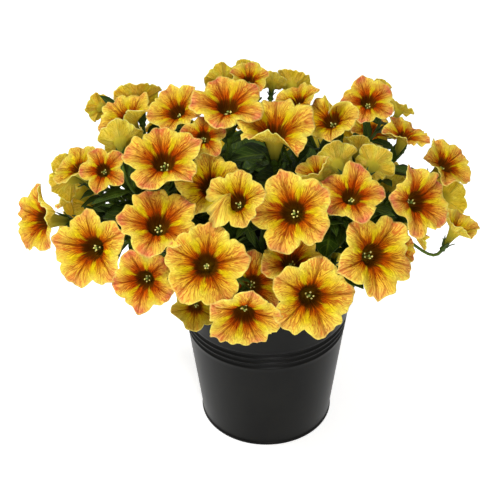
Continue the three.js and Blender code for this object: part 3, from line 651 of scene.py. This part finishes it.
class Leaf:
    """A leaf at a share of the way along a stem and turned round it."""

    def __init__(self, curve, at, turn, scale, seed):
        tangent = curve.tangent(at)
        level = unit(np.cross(tangent, UP))
        outward = level * cos(turn) + np.cross(level, tangent) * sin(turn)
        self.heading = unit(outward * 0.8 + tangent * 0.6)
        self.normal = np.cross(unit(np.cross(self.heading, UP)), self.heading)
        self.across = np.cross(self.heading, self.normal)
        self.base, self.seed = curve.at(at) - self.heading * 0.3, seed
        self.length, self.width = LEAF_LENGTH * scale, LEAF_WIDTH * scale

    def corners(self):
        """The corners of the solid's own leaf, past its base."""
        corners = []
        for along, over in [(LEAF_WAIST, -1), (LEAF_WAIST, 0), (LEAF_WAIST, 1), (1, 0)]:
            rise = abs(over) * LEAF_FOLD * self.width - LEAF_DROOP * along ** 2 * self.length
            point = self.base + self.heading * along * self.length + self.across * over * self.width / 2
            corners += [point + self.normal * rise, point + self.normal * (rise - LEAF_THICKNESS)]
        return corners


def branch_width(t):
    return BRANCH_RADIUS * (1.15 - 0.35 * t)


def stalk_width(t):
    return STALK_RADIUS * min(1, 0.4 + 2 * t)


def find_stalk(match, branch, k, bloom):
    """The curve from a branch to its bloom number k, found among those that the solids try."""
    tried = []
    for back, curl, lift, swing in STALK_WAYS:
        at = min(1, 1 - 0.55 * k / BRANCH_BLOOMS - back)
        curve = stalk_curve(branch.at(at), branch.tangent(at), bloom, curl, lift, swing)
        if match([curve.at(1 / 3), curve.at(2 / 3)], STALK_RADIUS) > 0:
            for side in circle(*bloom.axes[:2], turns(PETALS)):
                tried.append((match(curve.rings(STALK_STEPS, stalk_width, side)), curve))
    return max(tried, key=lambda pair: pair[0])[1]


def read_plant(number):
    """The branch, stalk and leaf curves that the plant's solid was made from."""
    match = matcher(f"plant_{number + 1}")
    crown = crown_of(number)
    own = [bloom for bloom in blooms if plant_for(bloom) == number]
    branches, stalks, spots = [], [], []
    for fork, group in enumerate(groups_for(crown, own)):
        tried = [branch_curve(crown, group, fork, share, bend) for share, bend in BRANCH_WAYS]
        branch = max(tried, key=lambda curve: match(curve.rings(BRANCH_STEPS, branch_width, SIDE)))
        branches.append(branch)
        spots += [(branch, 0.5, 1.1), (branch, 1, 1)]
        for k, bloom in enumerate(group):
            stalk = find_stalk(match, branch, k, bloom)
            stalks.append((stalk, bloom))
            if k % 3 == 1:
                spots.append((stalk, 1 / 3, 0.9))
    turn, leaves = 0, []
    for seed, (curve, at, share) in enumerate(spots, number * 100):
        for _ in range(LEAF_TRIES):
            turn += GOLDEN_ANGLE
            leaf = Leaf(curve, at, turn, share * spread(seed, 70, 0.85, 1.15), seed)
            if match(leaf.corners()) >= LEAF_MATCH:
                leaves.append(leaf)
                break
    return SimpleNamespace(number=number, crown=crown, branches=branches, stalks=stalks, leaves=leaves)


plants = [read_plant(number) for number in range(len(CROWN_ANGLES))]

# Materials


def srgb(red, green, blue):
    """The colour that a node takes for screen levels from 0 to 255."""

    def linear(level):
        return ((level / 255 + 0.055) / 1.055) ** 2.4 if level > 10 else level / 255 / 12.92

    return linear(red), linear(green), linear(blue), 1.0


class Paint:
    """One procedural material, and short calls for its nodes."""

    def __init__(self, name):
        self.material = bpy.data.materials.new(name)
        self.material.use_nodes = True
        self.tree = self.material.node_tree
        self.shader = self.tree.nodes["Principled BSDF"]

    def put(self, socket, value):
        """Feeds a socket from a node, or sets it; a colour is set by its screen levels."""
        if isinstance(value, bpy.types.NodeSocket):
            self.tree.links.new(value, socket)
        else:
            socket.default_value = srgb(*value) if socket.type == "RGBA" else value

    def node(self, kind, *values, **settings):
        """A node with its first inputs and its settings filled in."""
        node = self.tree.nodes.new("ShaderNode" + kind)
        for name, value in settings.items():
            setattr(node, name, value)
        for socket, value in zip(node.inputs, values):
            self.put(socket, value)
        return node

    def fill(self, node, **values):
        """Fills a node's inputs by their names."""
        for name, value in values.items():
            self.put(node.inputs[name.replace("_", " ")], value)

    def math(self, operation, *values):
        return self.node("Math", *values, operation=operation).outputs[0]

    def times(self, a, b):
        return self.math("MULTIPLY", a, b)

    def plus(self, a, b):
        return self.math("ADD", a, b)

    def most(self, a, b):
        return self.math("MAXIMUM", a, b)

    def ramp(self, value, slope, start):
        """A straight rise or fall with the value."""
        return self.math("MULTIPLY_ADD", value, slope, start)

    def attribute(self, name, kind="Fac"):
        return self.node("Attribute", attribute_name=name).outputs[kind]

    def place(self):
        return self.node("TexCoord").outputs["Object"]

    def vector(self, x, y, z):
        return self.node("CombineXYZ", x, y, z).outputs[0]

    def split(self, vector):
        return self.node("SeparateXYZ", vector).outputs

    def noise(self, vector, scale, detail=2.0, rough=0.5):
        node = self.node("TexNoise")
        self.fill(node, Vector=vector, Scale=scale, Detail=detail, Roughness=rough)
        return node.outputs["Fac"]

    def step(self, value, low, high, to_low=0.0, to_high=1.0):
        """A smooth rise as the value goes from low to high."""
        ends = (low, high, to_low, to_high)
        return self.node("MapRange", value, *ends, interpolation_type="SMOOTHSTEP").outputs[0]

    def fall(self, *values):
        """One minus such a rise."""
        return self.math("SUBTRACT", 1.0, self.step(*values))

    def mix(self, share, a, b):
        """Colour a, with that share of colour b."""
        node = self.node("Mix", share, data_type="RGBA")
        self.put(node.inputs[6], a)
        self.put(node.inputs[7], b)
        return node.outputs[2]

    def cover(self, colour, *layers):
        """A colour under others, each given with its share."""
        for share, layer in layers:
            colour = self.mix(share, colour, layer)
        return colour

    def bump(self, height, strength, distance):
        node = self.node("Bump")
        self.fill(node, Strength=strength, Distance=distance, Height=height)
        self.fill(self.shader, Normal=node.outputs[0])

    def set(self, **values):
        self.fill(self.shader, **values)
        return self.material


def petal_paint():
    """Yellow petals with a warm flush, a dark throat and fine red veins, and plainer backs."""
    p = Paint("petal")
    times, plus, most, ramp, step, fall = p.times, p.plus, p.most, p.ramp, p.step, p.fall
    x, y, seed = p.split(p.attribute("place", "Vector"))
    tone, under = p.attribute("tone"), p.attribute("under")
    # A tone below 0 is the share of painted shade: a darker olive laid over the whole bloom
    warm, painted_shade = most(tone, 0.0), most(times(tone, -1.0), 0.0)
    reach = p.math("SQRT", plus(times(x, x), times(y, y)))
    turn = times(p.math("ARCTAN2", y, x), PETALS / tau)
    middle = p.math("ROUND", turn)
    aside = times(p.math("SUBTRACT", turn, middle), 2.0)
    lobe = p.math("ABSOLUTE", aside)
    petal = ramp(middle, 3.7, seed)
    fan = times(aside, p.math("POWER", most(reach, 0.06), -0.65))
    drift = plus(p.noise(p.vector(times(fan, 2.5), times(reach, 4.0), petal), 1.0), -0.5)

    def lines(across, along, shift, width):
        """Dark vein lines that fan out from the middle of each petal."""
        where = p.vector(plus(times(fan, across), times(drift, 2.2)), times(reach, along), plus(petal, shift))
        away = p.math("ABSOLUTE", p.math("SUBTRACT", p.noise(where, 1.0, 1.0), 0.5))
        return fall(away, 0.0, width)

    def spots(scale, depth, rough=0.5, detail=2.0):
        """Noise over the whole bloom, as if it were flat."""
        return p.noise(p.vector(times(x, scale), times(y, scale), depth), 1.0, detail, rough)

    # Where veins, blotches, each petal's rib, the warm flush and its pink tip lie
    main, fine, net = lines(5.0, 1.3, 0.3, 0.05), lines(11.0, 2.6, 0.9, 0.055), lines(17.0, 7.0, 1.7, 0.05)
    veins = most(main, most(times(fine, 0.95), times(net, 0.45)))
    patch = p.noise(p.vector(x, y, seed), 2.4)
    blotch, grain, quilt = spots(3.2, plus(seed, 5.0)), spots(30.0, seed, 0.7), spots(9.0, seed, 0.6, 3.0)
    rib = fall(times(lobe, most(reach, 0.3)), 0.01, 0.055)
    side = plus(plus(lobe, ramp(blotch, 0.44, -0.22)), times(p.math("SUBTRACT", 0.4, fine), 0.16))
    band = ramp(reach, -0.42, 1.06)
    tint = fall(side, plus(band, times(reach, -0.4)), plus(band, times(reach, 0.2)))
    warmth = p.math("MINIMUM", times(tint, ramp(warm, 0.7, 0.4)), 1.0)
    tip = times(times(step(reach, 0.66, 1.0), fall(side, 0.1, 0.62)), plus(warm, 0.08))
    glow = times(fall(reach, 0.34, ramp(warm, 0.3, 0.52)), ramp(tint, 0.74, 0.08))
    strong = times(times(veins, ramp(fall(reach, 0.4, 1.0), 0.4, 0.6)), ramp(tint, 0.62, 0.38))
    # How near the frayed edge is
    fray = spots(p.math("DIVIDE", 7.0, most(reach, 0.02)), seed, 0.6)
    ragged = ramp(main, -0.05, ramp(fray, -0.5, plus(reach, 0.25)))

    front = p.cover(
        p.mix(step(reach, 0.5, 1.0), (240, 218, 6), (242, 226, 96)),
        (times(step(patch, 0.35, 0.7), 0.45), (232, 188, 28)),
        (times(step(blotch, 0.5, 0.75), times(warm, 0.6)), (232, 164, 50)),
        (warmth, p.mix(step(reach, 0.36, 0.8), (232, 144, 2), (240, 188, 66))),
        (tip, (226, 120, 92)),
        (glow, (206, 64, 0)),
        (strong, p.mix(step(reach, 0.4, 0.95), (132, 8, 0), (186, 46, 20))),
        (times(rib, fall(reach, 0.5, 0.95, 0.25, 0.75)), (150, 62, 6)),
        (times(step(grain, 0.5, 0.75), 0.14), (190, 116, 12)),
        # Painted shade: a darker olive over a whole bloom that lies in shade
        (painted_shade, (112, 92, 6)),
        # A thin pale line along the edge: a painted highlight where the edge catches the light
        (times(step(ramp(grain, 0.03, reach), 0.955, 1.005), 0.5), (250, 232, 116)),
        (times(fall(ragged, 0.27, 0.39), 0.85), (140, 58, 0)),
        (times(fall(ragged, 0.23, 0.34), 0.95), (112, 60, 0)),
        (fall(reach, 0.05, 0.23), (176, 126, 10)),
        (times(times(veins, fall(reach, 0.22, 0.4)), 0.7), (56, 22, 0)),
    )
    back = p.cover(
        p.mix(step(patch, 0.3, 0.7), (253, 226, 92), (248, 206, 62)),
        (times(times(tint, 0.65), warm), (238, 160, 64)),
        (times(veins, 0.65), (184, 140, 14)),
        (times(rib, 0.5), (166, 146, 38)),
        (fall(reach, 0.22, 0.46), (196, 176, 50)),
        (fall(reach, 0.05, 0.3), (104, 108, 32)),
        # A thin pale line along the edge: a painted highlight where the edge catches the light
        (times(step(reach, 0.95, 1.0), 0.6), (250, 240, 150)),
    )
    p.bump(ramp(veins, -0.5, ramp(rib, -0.8, times(quilt, 1.8))), 0.9, 0.001)
    return p.set(Base_Color=p.mix(under, front, back), Roughness=0.65, Specular_IOR_Level=0.03,
                 Subsurface_Weight=ramp(under, 0.45, 0.25), Subsurface_Scale=ramp(under, 0.0016, 0.0005),
                 Subsurface_Radius=(1.0, 0.85, 0.35))


def plain_paint(name, light, dark, scale, rough, **more):
    """A material of two colours in soft patches, with a fine grain."""
    p = Paint(name)
    patch = p.noise(p.place(), scale, 3.0, 0.6)
    p.bump(p.noise(p.place(), scale * 6), 0.3, 0.0003)
    return p.set(Base_Color=p.mix(p.step(patch, 0.35, 0.65), light, dark), Roughness=rough, **more)


def leaf_paint():
    """Dark green leaves with paler ribs and side veins, and paler undersides."""
    p = Paint("leaf")
    along, across, seed = p.split(p.attribute("place", "Vector"))
    under = p.attribute("under")
    over = p.math("ABSOLUTE", across)
    patch = p.noise(p.vector(along, across, seed), 3.0, 3.0)
    slant = p.ramp(patch, 0.05, p.ramp(over, -0.3, along))
    comb = p.math("ABSOLUTE", p.math("SINE", p.times(slant, 24.0)))
    side = p.times(p.fall(comb, 0.0, 0.28), p.fall(over, 0.6, 1.0))
    veins = p.most(side, p.fall(over, 0.02, 0.1))
    net = p.step(p.noise(p.vector(along, across, seed), 16.0), 0.45, 0.6)
    colour = p.cover(
        p.mix(p.step(patch, 0.3, 0.7), (36, 56, 4), (54, 78, 6)),
        (p.times(net, 0.25), (26, 42, 4)),
        (p.times(veins, 0.6), (98, 116, 26)),
        (p.times(under, 0.6), (92, 108, 34)),
    )
    p.bump(p.ramp(veins, -1.0, p.times(net, -0.3)), 0.6, 0.0006)
    return p.set(Base_Color=colour, Roughness=0.5, Specular_IOR_Level=0.2)


def metal_paint():
    """Dark coated metal, faintly mottled."""
    p = Paint("pot_metal")
    x, y, z = p.split(p.place())
    mottle = p.noise(p.place(), 28.0, 4.0, 0.6)
    brush = p.noise(p.vector(p.times(x, 60.0), p.times(y, 60.0), p.times(z, 8.0)), 6.0)
    colour = p.mix(p.step(mottle, 0.3, 0.75), (16, 16, 15), (22, 22, 20))
    p.bump(p.ramp(brush, 0.3, mottle), 0.12, 0.0004)
    return p.set(Base_Color=colour, Roughness=p.ramp(mottle, 0.12, 0.3), Specular_IOR_Level=0.07)


def soil_paint():
    """Dark crumbly soil."""
    p = Paint("soil")
    grain = p.noise(p.place(), 260.0, 4.0, 0.7)
    patch = p.noise(p.place(), 45.0, 3.0)
    colour = p.mix(p.step(grain, 0.35, 0.65), (34, 25, 18), (74, 56, 40))
    colour = p.mix(p.times(p.step(patch, 0.5, 0.7), 0.5), colour, (48, 38, 30))
    p.bump(grain, 0.8, 0.002)
    return p.set(Base_Color=colour, Roughness=0.95, Specular_IOR_Level=0.15)


PETAL = petal_paint()
ANTHER = plain_paint("anther", (250, 240, 150), (228, 214, 96), 900, 0.6, Specular_IOR_Level=0.1)
STIGMA = plain_paint("stigma", (140, 158, 66), (104, 128, 44), 700, 0.45)
LEAF = leaf_paint()
STEM = plain_paint("stem", (76, 96, 20), (54, 74, 10), 160, 0.5, Specular_IOR_Level=0.2)
SEPAL = plain_paint("sepal", (56, 76, 12), (42, 58, 6), 220, 0.5, Specular_IOR_Level=0.2)
METAL = metal_paint()
SOIL = soil_paint()

# Blooms

# How warm a flush each bloom has, by its number in the photograph; below 0 it is painted darker olive
# instead, as painted shade for a bloom that lies in shade
WARMTH_AND_SHADE = {
    1: 0.6, 2: 0.25, 3: 0.4, 4: 0.4, 5: 0.42, 6: 0.5, 7: 0.75, 8: 0.85, 9: 0.1, 10: 0.95, 11: 0.8, 12: 0.7,
    13: 0.8, 14: 0.35, 15: 0.8, 16: 0.75, 17: 0.9, 18: 0.65, 19: 0.6, 20: -0.65, 21: 0.0, 22: 0.45,
    23: 0.35, 24: 0.1, 25: 0.3, 26: 0.6, 27: 0.55, 28: 0.5, 29: 0.4, 30: 0.2, 31: 0.2, 32: 0.7, 33: 0.05,
    36: 0.75, 37: 0.85, 42: 0.2, 48: 0.3,
}
# How far up some stalks the leaves go, where the photograph shows them bare
BARE_STALKS = {17: 0.45, 13: 0.6, 30: 0.0}
# How much larger the leaves are along stalks where the photograph shows leafy shoots
LEAFY_STALKS = {22: 1.6, 23: 1.6, 26: 1.7, 29: 1.6, 35: 1.6, 36: 1.6, 37: 1.7}
for bloom in blooms:
    bloom.warm = WARMTH_AND_SHADE.get(bloom.number + 1, spread(bloom.number, 600, 0.25, 0.8))
every_bloom = Parts()
for name, members in blooms_of.items():
    parts = Parts()
    for bloom in members:
        parts.rows(*petal_rows(bloom))
        add_stamens(parts, bloom)
    every_bloom.add(np.vstack(parts.points), parts.faces, np.vstack(parts.marks), 0)
    parts.piece(f"{name}_petals", [PETAL, ANTHER, STIGMA], [name], "petal")
walls = BVHTree.FromPolygons((np.vstack(every_bloom.points) * MM).tolist(), every_bloom.faces)

# Plants

# A stem's room from the petals, and the thickness of each kind of leaf, in millimetres
STEM_ROOM, SEPAL_SHEET, SPRIG_SHEET, LEAF_SHEET = 0.4, 0.5, 0.4, 0.55
# Where along a stalk its leaves grow, their room from the petals, and how much larger the far ones are
SPRIG_PLACES, SPRIG_ROOM, FAR_SPRIG = (0.12, 0.26, 0.4, 0.52, 0.64, 0.76, 0.88), 0.9, 1.7


def add_calyx(parts, bloom):
    """A small cup and five narrow pointed sepals round the foot of a bloom."""
    size, seed = bloom.size, bloom.number
    x, y, z = bloom.axes
    foot = -TUBE_LENGTH * size
    # Radius and height of each row of the cup, outside and then inside
    cup = [(1.3, foot - 3.2), (2.3, foot - 2.2), (3.2 * size, foot + 0.2), (3.9 * size, foot + 3.4 * size),
           (3.4 * size, foot + 3.5 * size), (2.6 * size, foot + 0.4), (1.2, foot - 0.5)]
    rows = [[about_bloom(bloom, 0, 0, foot - 3.8)]]
    for radius, height in cup:
        rows.append([about_bloom(bloom, radius, angle, height) for angle in turns(CUP_SIDES)])
    rows.append([about_bloom(bloom, 0, 0, foot - 0.7)])
    parts.plain_rows(rows, [0, 0, seed, 0.5, 0], SEPAL_SLOT)
    for k in range(PETALS):
        angle = pi * (2 * k + 1) / PETALS
        reach = spread(seed, 700 + k, 0.85, 1.0)
        path = [(2.6 * size, foot + 0.4), (3.9 * size, foot + 3.6 * size), (5.2 * size, foot + 7.6 * size),
                (9.6 * size * reach, foot + 13 * size)]
        steps = np.linspace(0, 1, SEPAL_ROWS)
        path = smooth_steps(path, steps)
        across = -sin(angle) * x + cos(angle) * y
        out = cos(angle) * x + sin(angle) * y
        grid, normals, marks = [], [], []
        for u, (radius, height), slope in zip(steps, path, unit(np.gradient(path, axis=0))):
            half = size * (0.9 + 1.5 * sin(pi * min(1, u * 1.05)) ** 0.8) * (1 - u ** 3) + 0.12
            normal = unit(out * slope[1] - z * slope[0])
            place = about_bloom(bloom, radius, angle, height)
            for v in (-1, -0.5, 0, 0.5, 1):
                grid.append(place + across * v * half + normal * 0.35 * size * v * v)
                normals.append(normal)
                marks.append([u, v, seed + k, 0.5, 0])
        grid, normals, marks = as_grid(5, grid, normals, marks)
        parts.blade(grid, SEPAL_SHEET, normals, marks, SEPAL_SLOT)


def leaf_grid(leaf, rows, columns):
    """An ovate blade on a short stalk, with its edges waved and its halves lifted from the rib."""
    seed, length, width, normal = leaf.seed, leaf.length, leaf.width, leaf.normal
    wavy, bend = spread(seed, 800, 0.6, 1.3), spread(seed, 801, -0.05, 0.05)
    phase = spread(seed, 802, 0, 6.28)
    grid, normals, marks = [], [], []
    for i in range(rows):
        u = i / (rows - 1)
        if u < LEAF_WAIST:
            half = 0.5 * sin(pi / 2 * (u / LEAF_WAIST)) ** 1.3
        else:
            half = 0.5 * cos(pi / 2 * ((u - LEAF_WAIST) / (1 - LEAF_WAIST)) ** 1.35) ** 0.95
        half = max(half, 0.022 if i < rows - 1 else 0.004)
        for j in range(columns):
            v = 2 * j / (columns - 1) - 1
            lift = abs(v) ** 1.5 * LEAF_FOLD * width * min(1, 2 * half) - LEAF_DROOP * u * u * length
            lift += 0.45 * wavy * v * v * sin(13 * u + phase + (2 if v > 0 else 0))
            quilt = 0.3 * sin(pi * abs(v)) * sin(24 * (u - 0.3 * abs(v)))
            lift += quilt * (width / LEAF_WIDTH)
            aside = v * half * width + bend * u * u * length
            place = leaf.base + leaf.heading * u * length + leaf.across * aside
            grid.append(place + normal * lift)
            normals.append(normal)
            marks.append([u, v, seed * 0.37, 0.5, 0])
    return as_grid(columns, grid, normals, marks)


def add_sprigs(parts, stalks):
    """Small narrow leaves along each flower stalk, wherever they are clear of the petals."""
    turn = 0.0
    for curve, bloom in stalks:
        far = bloom.number >= len(seen_names)
        leafy = LEAFY_STALKS.get(bloom.number + 1, FAR_SPRIG if far else 1.0)
        bare = BARE_STALKS.get(bloom.number + 1, 1)
        for step, at in enumerate(at for at in SPRIG_PLACES if at <= bare):
            for pair in range(2):
                seed = 5000 + 40 * bloom.number + 4 * step + pair
                turn += GOLDEN_ANGLE
                scale = spread(seed, 1, 0.34, 0.6) * (1.15 - 0.45 * at) * leafy
                leaf = Leaf(curve, at, turn, scale, seed)
                leaf.width *= spread(seed, 2, 0.5, 0.8)
                grid, normals, marks = leaf_grid(leaf, *SPRIG_GRID)
                spots = grid[:, ::2].reshape(-1, 3) * MM
                if min(walls.find_nearest(Vector(spot))[3] for spot in spots) > SPRIG_ROOM * MM:
                    parts.blade(grid, SPRIG_SHEET, normals, marks)


def add_plant(plant):
    """One plant in two pieces: its stems with the calyxes, and its leaves."""
    n = plant.number + 1
    stems, leaves = Parts(), Parts()
    mark = [0, 0, n, 0.5, 0]
    heights = np.linspace(CROWN_FOOT, CROWN_HEAD + CROWN_RADIUS - 0.5, CROWN_RINGS)
    taper = np.linspace(1, 0.8, CROWN_RINGS)
    radii = [CROWN_RADIUS * share * spread(n, 900 + k, 0.94, 1.0) for k, share in enumerate(taper)]
    tube(stems, [plant.crown + UP * h for h in heights], radii, mark, 0, CROWN_SIDES, SIDE)
    for k, curve in enumerate(plant.branches):
        branch = Eased(curve, BRANCH_STEPS, BRANCH_RADIUS + STEM_ROOM)
        steps = np.linspace(0, 1, BRANCH_RINGS)
        radii = [branch_width(t) * (1 + 0.05 * sin(9 * t * k)) for t in steps]
        tube(stems, [branch.at(t) for t in steps], radii, mark, 0, BRANCH_SIDES, SIDE)
    room = STALK_RADIUS + STEM_ROOM
    stalks = [(Eased(curve, STALK_STEPS, room), bloom) for curve, bloom in plant.stalks]
    for curve, bloom in stalks:
        steps = np.linspace(0, 1, STALK_RINGS)
        radii = [stalk_width(t) * (0.86 + 0.14 * t ** 4) for t in steps]
        tube(stems, [curve.at(t) for t in steps], radii, mark, 0, STALK_SIDES, bloom.axes[0])
        add_calyx(stems, bloom)
    for leaf in plant.leaves:
        grid, normals, marks = leaf_grid(leaf, *LEAF_GRID)
        leaves.blade(grid, LEAF_SHEET, normals, marks)
    add_sprigs(leaves, stalks)
    stems.piece(f"plant_{n}_stems", [STEM, SEPAL], [f"plant_{n}"], "leaf")
    leaves.piece(f"plant_{n}_leaves", [LEAF], [f"plant_{n}"], "leaf")


for plant in plants:
    add_plant(plant)

# Pot and soil


def pot_radius(height):
    return BASE_RADIUS + (RIM_RADIUS - BASE_RADIUS) * height / POT_HEIGHT


def pot_profile():
    """The pot's (radius, height) points, from its base up the outside, over the rim and down the inside."""

    def wall(low, high, count, inset=0.0):
        """Points straight up the wall, or down it."""
        return [(pot_radius(height) - inset, height) for height in np.linspace(low, high, count)]

    profile = [(BASE_RADIUS - 1.2, 0.0), (pot_radius(0.3) + 0.5 * SEAM, 0.25)]
    for turn in np.linspace(-pi / 2, pi / 2, 7):
        profile.append((pot_radius(SEAM_HEIGHT / 2) + SEAM * (0.35 + 0.65 * cos(turn)),
                        SEAM_HEIGHT * (0.5 + 0.42 * sin(turn))))
    profile.append((pot_radius(SEAM_HEIGHT) + 0.1, SEAM_HEIGHT + 0.1))
    profile += wall(6, GROOVES[0] - 3.2, 22)
    for groove in GROOVES:
        for k in range(-8, 9):
            height = groove + GROOVE_HALF * 1.35 * k / 8
            dip = GROOVE_DEPTH * cos(pi / 2 * min(1, abs(k) / 8)) ** 1.4
            ridge = 0.18 * exp(-((abs(k) - 8) / 1.6) ** 2)
            profile.append((pot_radius(height) - dip + ridge, height))
    profile += wall(GROOVES[-1] + 4, POT_HEIGHT - 2.1 * RIM_BEAD, 12)
    for k in range(11):
        turn = radians(-65 + 215 * k / 10)
        profile.append((pot_radius(POT_HEIGHT) + RIM_BEAD * cos(turn) * (1 if k < 6 else 0.9),
                        POT_HEIGHT - RIM_BEAD + RIM_BEAD * sin(turn)))
    profile += wall(POT_HEIGHT - 1.2 * RIM_BEAD, FLOOR + 1, 14, WALL)
    return profile + [(pot_radius(FLOOR) - WALL - 1, FLOOR)]


def round_rows(profile, count, foot, head):
    """Rows of points for a turned shape, closed at the height of its foot and of its head."""
    rows = [about_axis(radius, turns(count), height) for radius, height in profile]
    return [[(0, 0, foot)]] + rows + [[(0, 0, head)]]


def soil_rows():
    """The soil's body under a top with bumps that fade towards its middle."""
    inside = pot_radius(SOIL_TOP) - WALL - 0.6
    angle = turns(SOIL_SIDES)
    profile = [(pot_radius(3) - WALL - 0.8, 2.6), (pot_radius(60) - WALL - 0.6, 60)]
    rows = round_rows(profile + [(inside, SOIL_TOP - 2)], SOIL_SIDES, 2.4, SOIL_TOP)[:-1]
    for k, share in enumerate(np.linspace(0.985, 0.03, SOIL_RINGS)):
        bumps = 1.1 * wave(angle, 900 + k // 2, [3, 5, 8, 13], 0.3)
        bumps = bumps + 0.8 * wave(angle, 950 + k, [17, 23, 31, 39], 0)
        rows.append(about_axis(inside * share, angle, SOIL_TOP + min(1, 3 * share) * bumps))
    return rows + [[(0, 0, SOIL_TOP + 0.5)]]


def add_turned(name, rows, material, node, slot_name):
    parts = Parts()
    parts.plain_rows(rows, [0, 0, 0, 0, 0])
    parts.piece(name, [material], [node], slot_name)


add_turned("pot_shell", round_rows(pot_profile(), POT_SIDES, 0.0, FLOOR), METAL, "pot", "pot_metal")
add_turned("soil_top", soil_rows(), SOIL, "soil", "soil")

# Stage, light and camera

# The photograph's side and the camera's focal length and sideways shift, in its pixels
PHOTO_SIDE, FOCAL_PIXELS, SHIFT_PIXELS = 490, 1208, 21.24
CAMERA_PLACE, CAMERA_DIP, SENSOR = (0, -0.7428, 0.6663), 0.603, 36
FLOOR_HALF = 6


def add_floor():
    """A plain pale sheet that gives back a little light of its own, as in a light tent."""
    mesh = bpy.data.meshes.new("floor")
    corners = [(x * FLOOR_HALF, y * FLOOR_HALF, 0) for x, y in ((-1, -1), (1, -1), (1, 1), (-1, 1))]
    mesh.from_pydata(corners, [], [(0, 1, 2, 3)])
    paper = Paint("floor_paper")
    pale = paper.mix(paper.noise(paper.place(), 40.0, 3.0), (252, 252, 252), (249, 249, 249))
    paper.set(Base_Color=pale, Roughness=0.9, Emission_Color=(255, 255, 255), Emission_Strength=0.6)
    mesh.materials.append(paper.material)
    floor = new_object("floor", mesh)


def add_lamp(name, place, aim, energy, size):
    """A round soft lamp that shines on a point."""
    data = bpy.data.lights.new(name, "AREA")
    data.energy, data.shape, data.size = energy, "DISK", size
    lamp = new_object(name, data)
    lamp.location = place
    lamp.rotation_euler = (Vector(aim) - Vector(place)).to_track_quat("-Z", "Y").to_euler()


def add_camera():
    data = bpy.data.cameras.new("camera")
    data.sensor_width = SENSOR
    data.lens = SENSOR * FOCAL_PIXELS / PHOTO_SIDE
    data.shift_x = -SHIFT_PIXELS / PHOTO_SIDE
    camera = new_object("camera", data)
    camera.location = CAMERA_PLACE
    camera.rotation_euler = Euler((pi / 2 - CAMERA_DIP, 0, 0))
    SCENE.camera = camera


add_floor()
SCENE.world = bpy.data.worlds.new("studio")
SCENE.world.use_nodes = True
light = SCENE.world.node_tree.nodes["Background"].inputs
light["Color"].default_value, light["Strength"].default_value = (1, 1, 1, 1), 0.36
SCENE.view_settings.view_transform = "Standard"
add_lamp("key", (-0.55, -0.25, 1.35), (0, 0, 0.15), 13, 0.4)
add_lamp("fill", (0.15, -1.2, 0.8), (0, 0, 0.12), 7.5, 0.5)
add_camera()
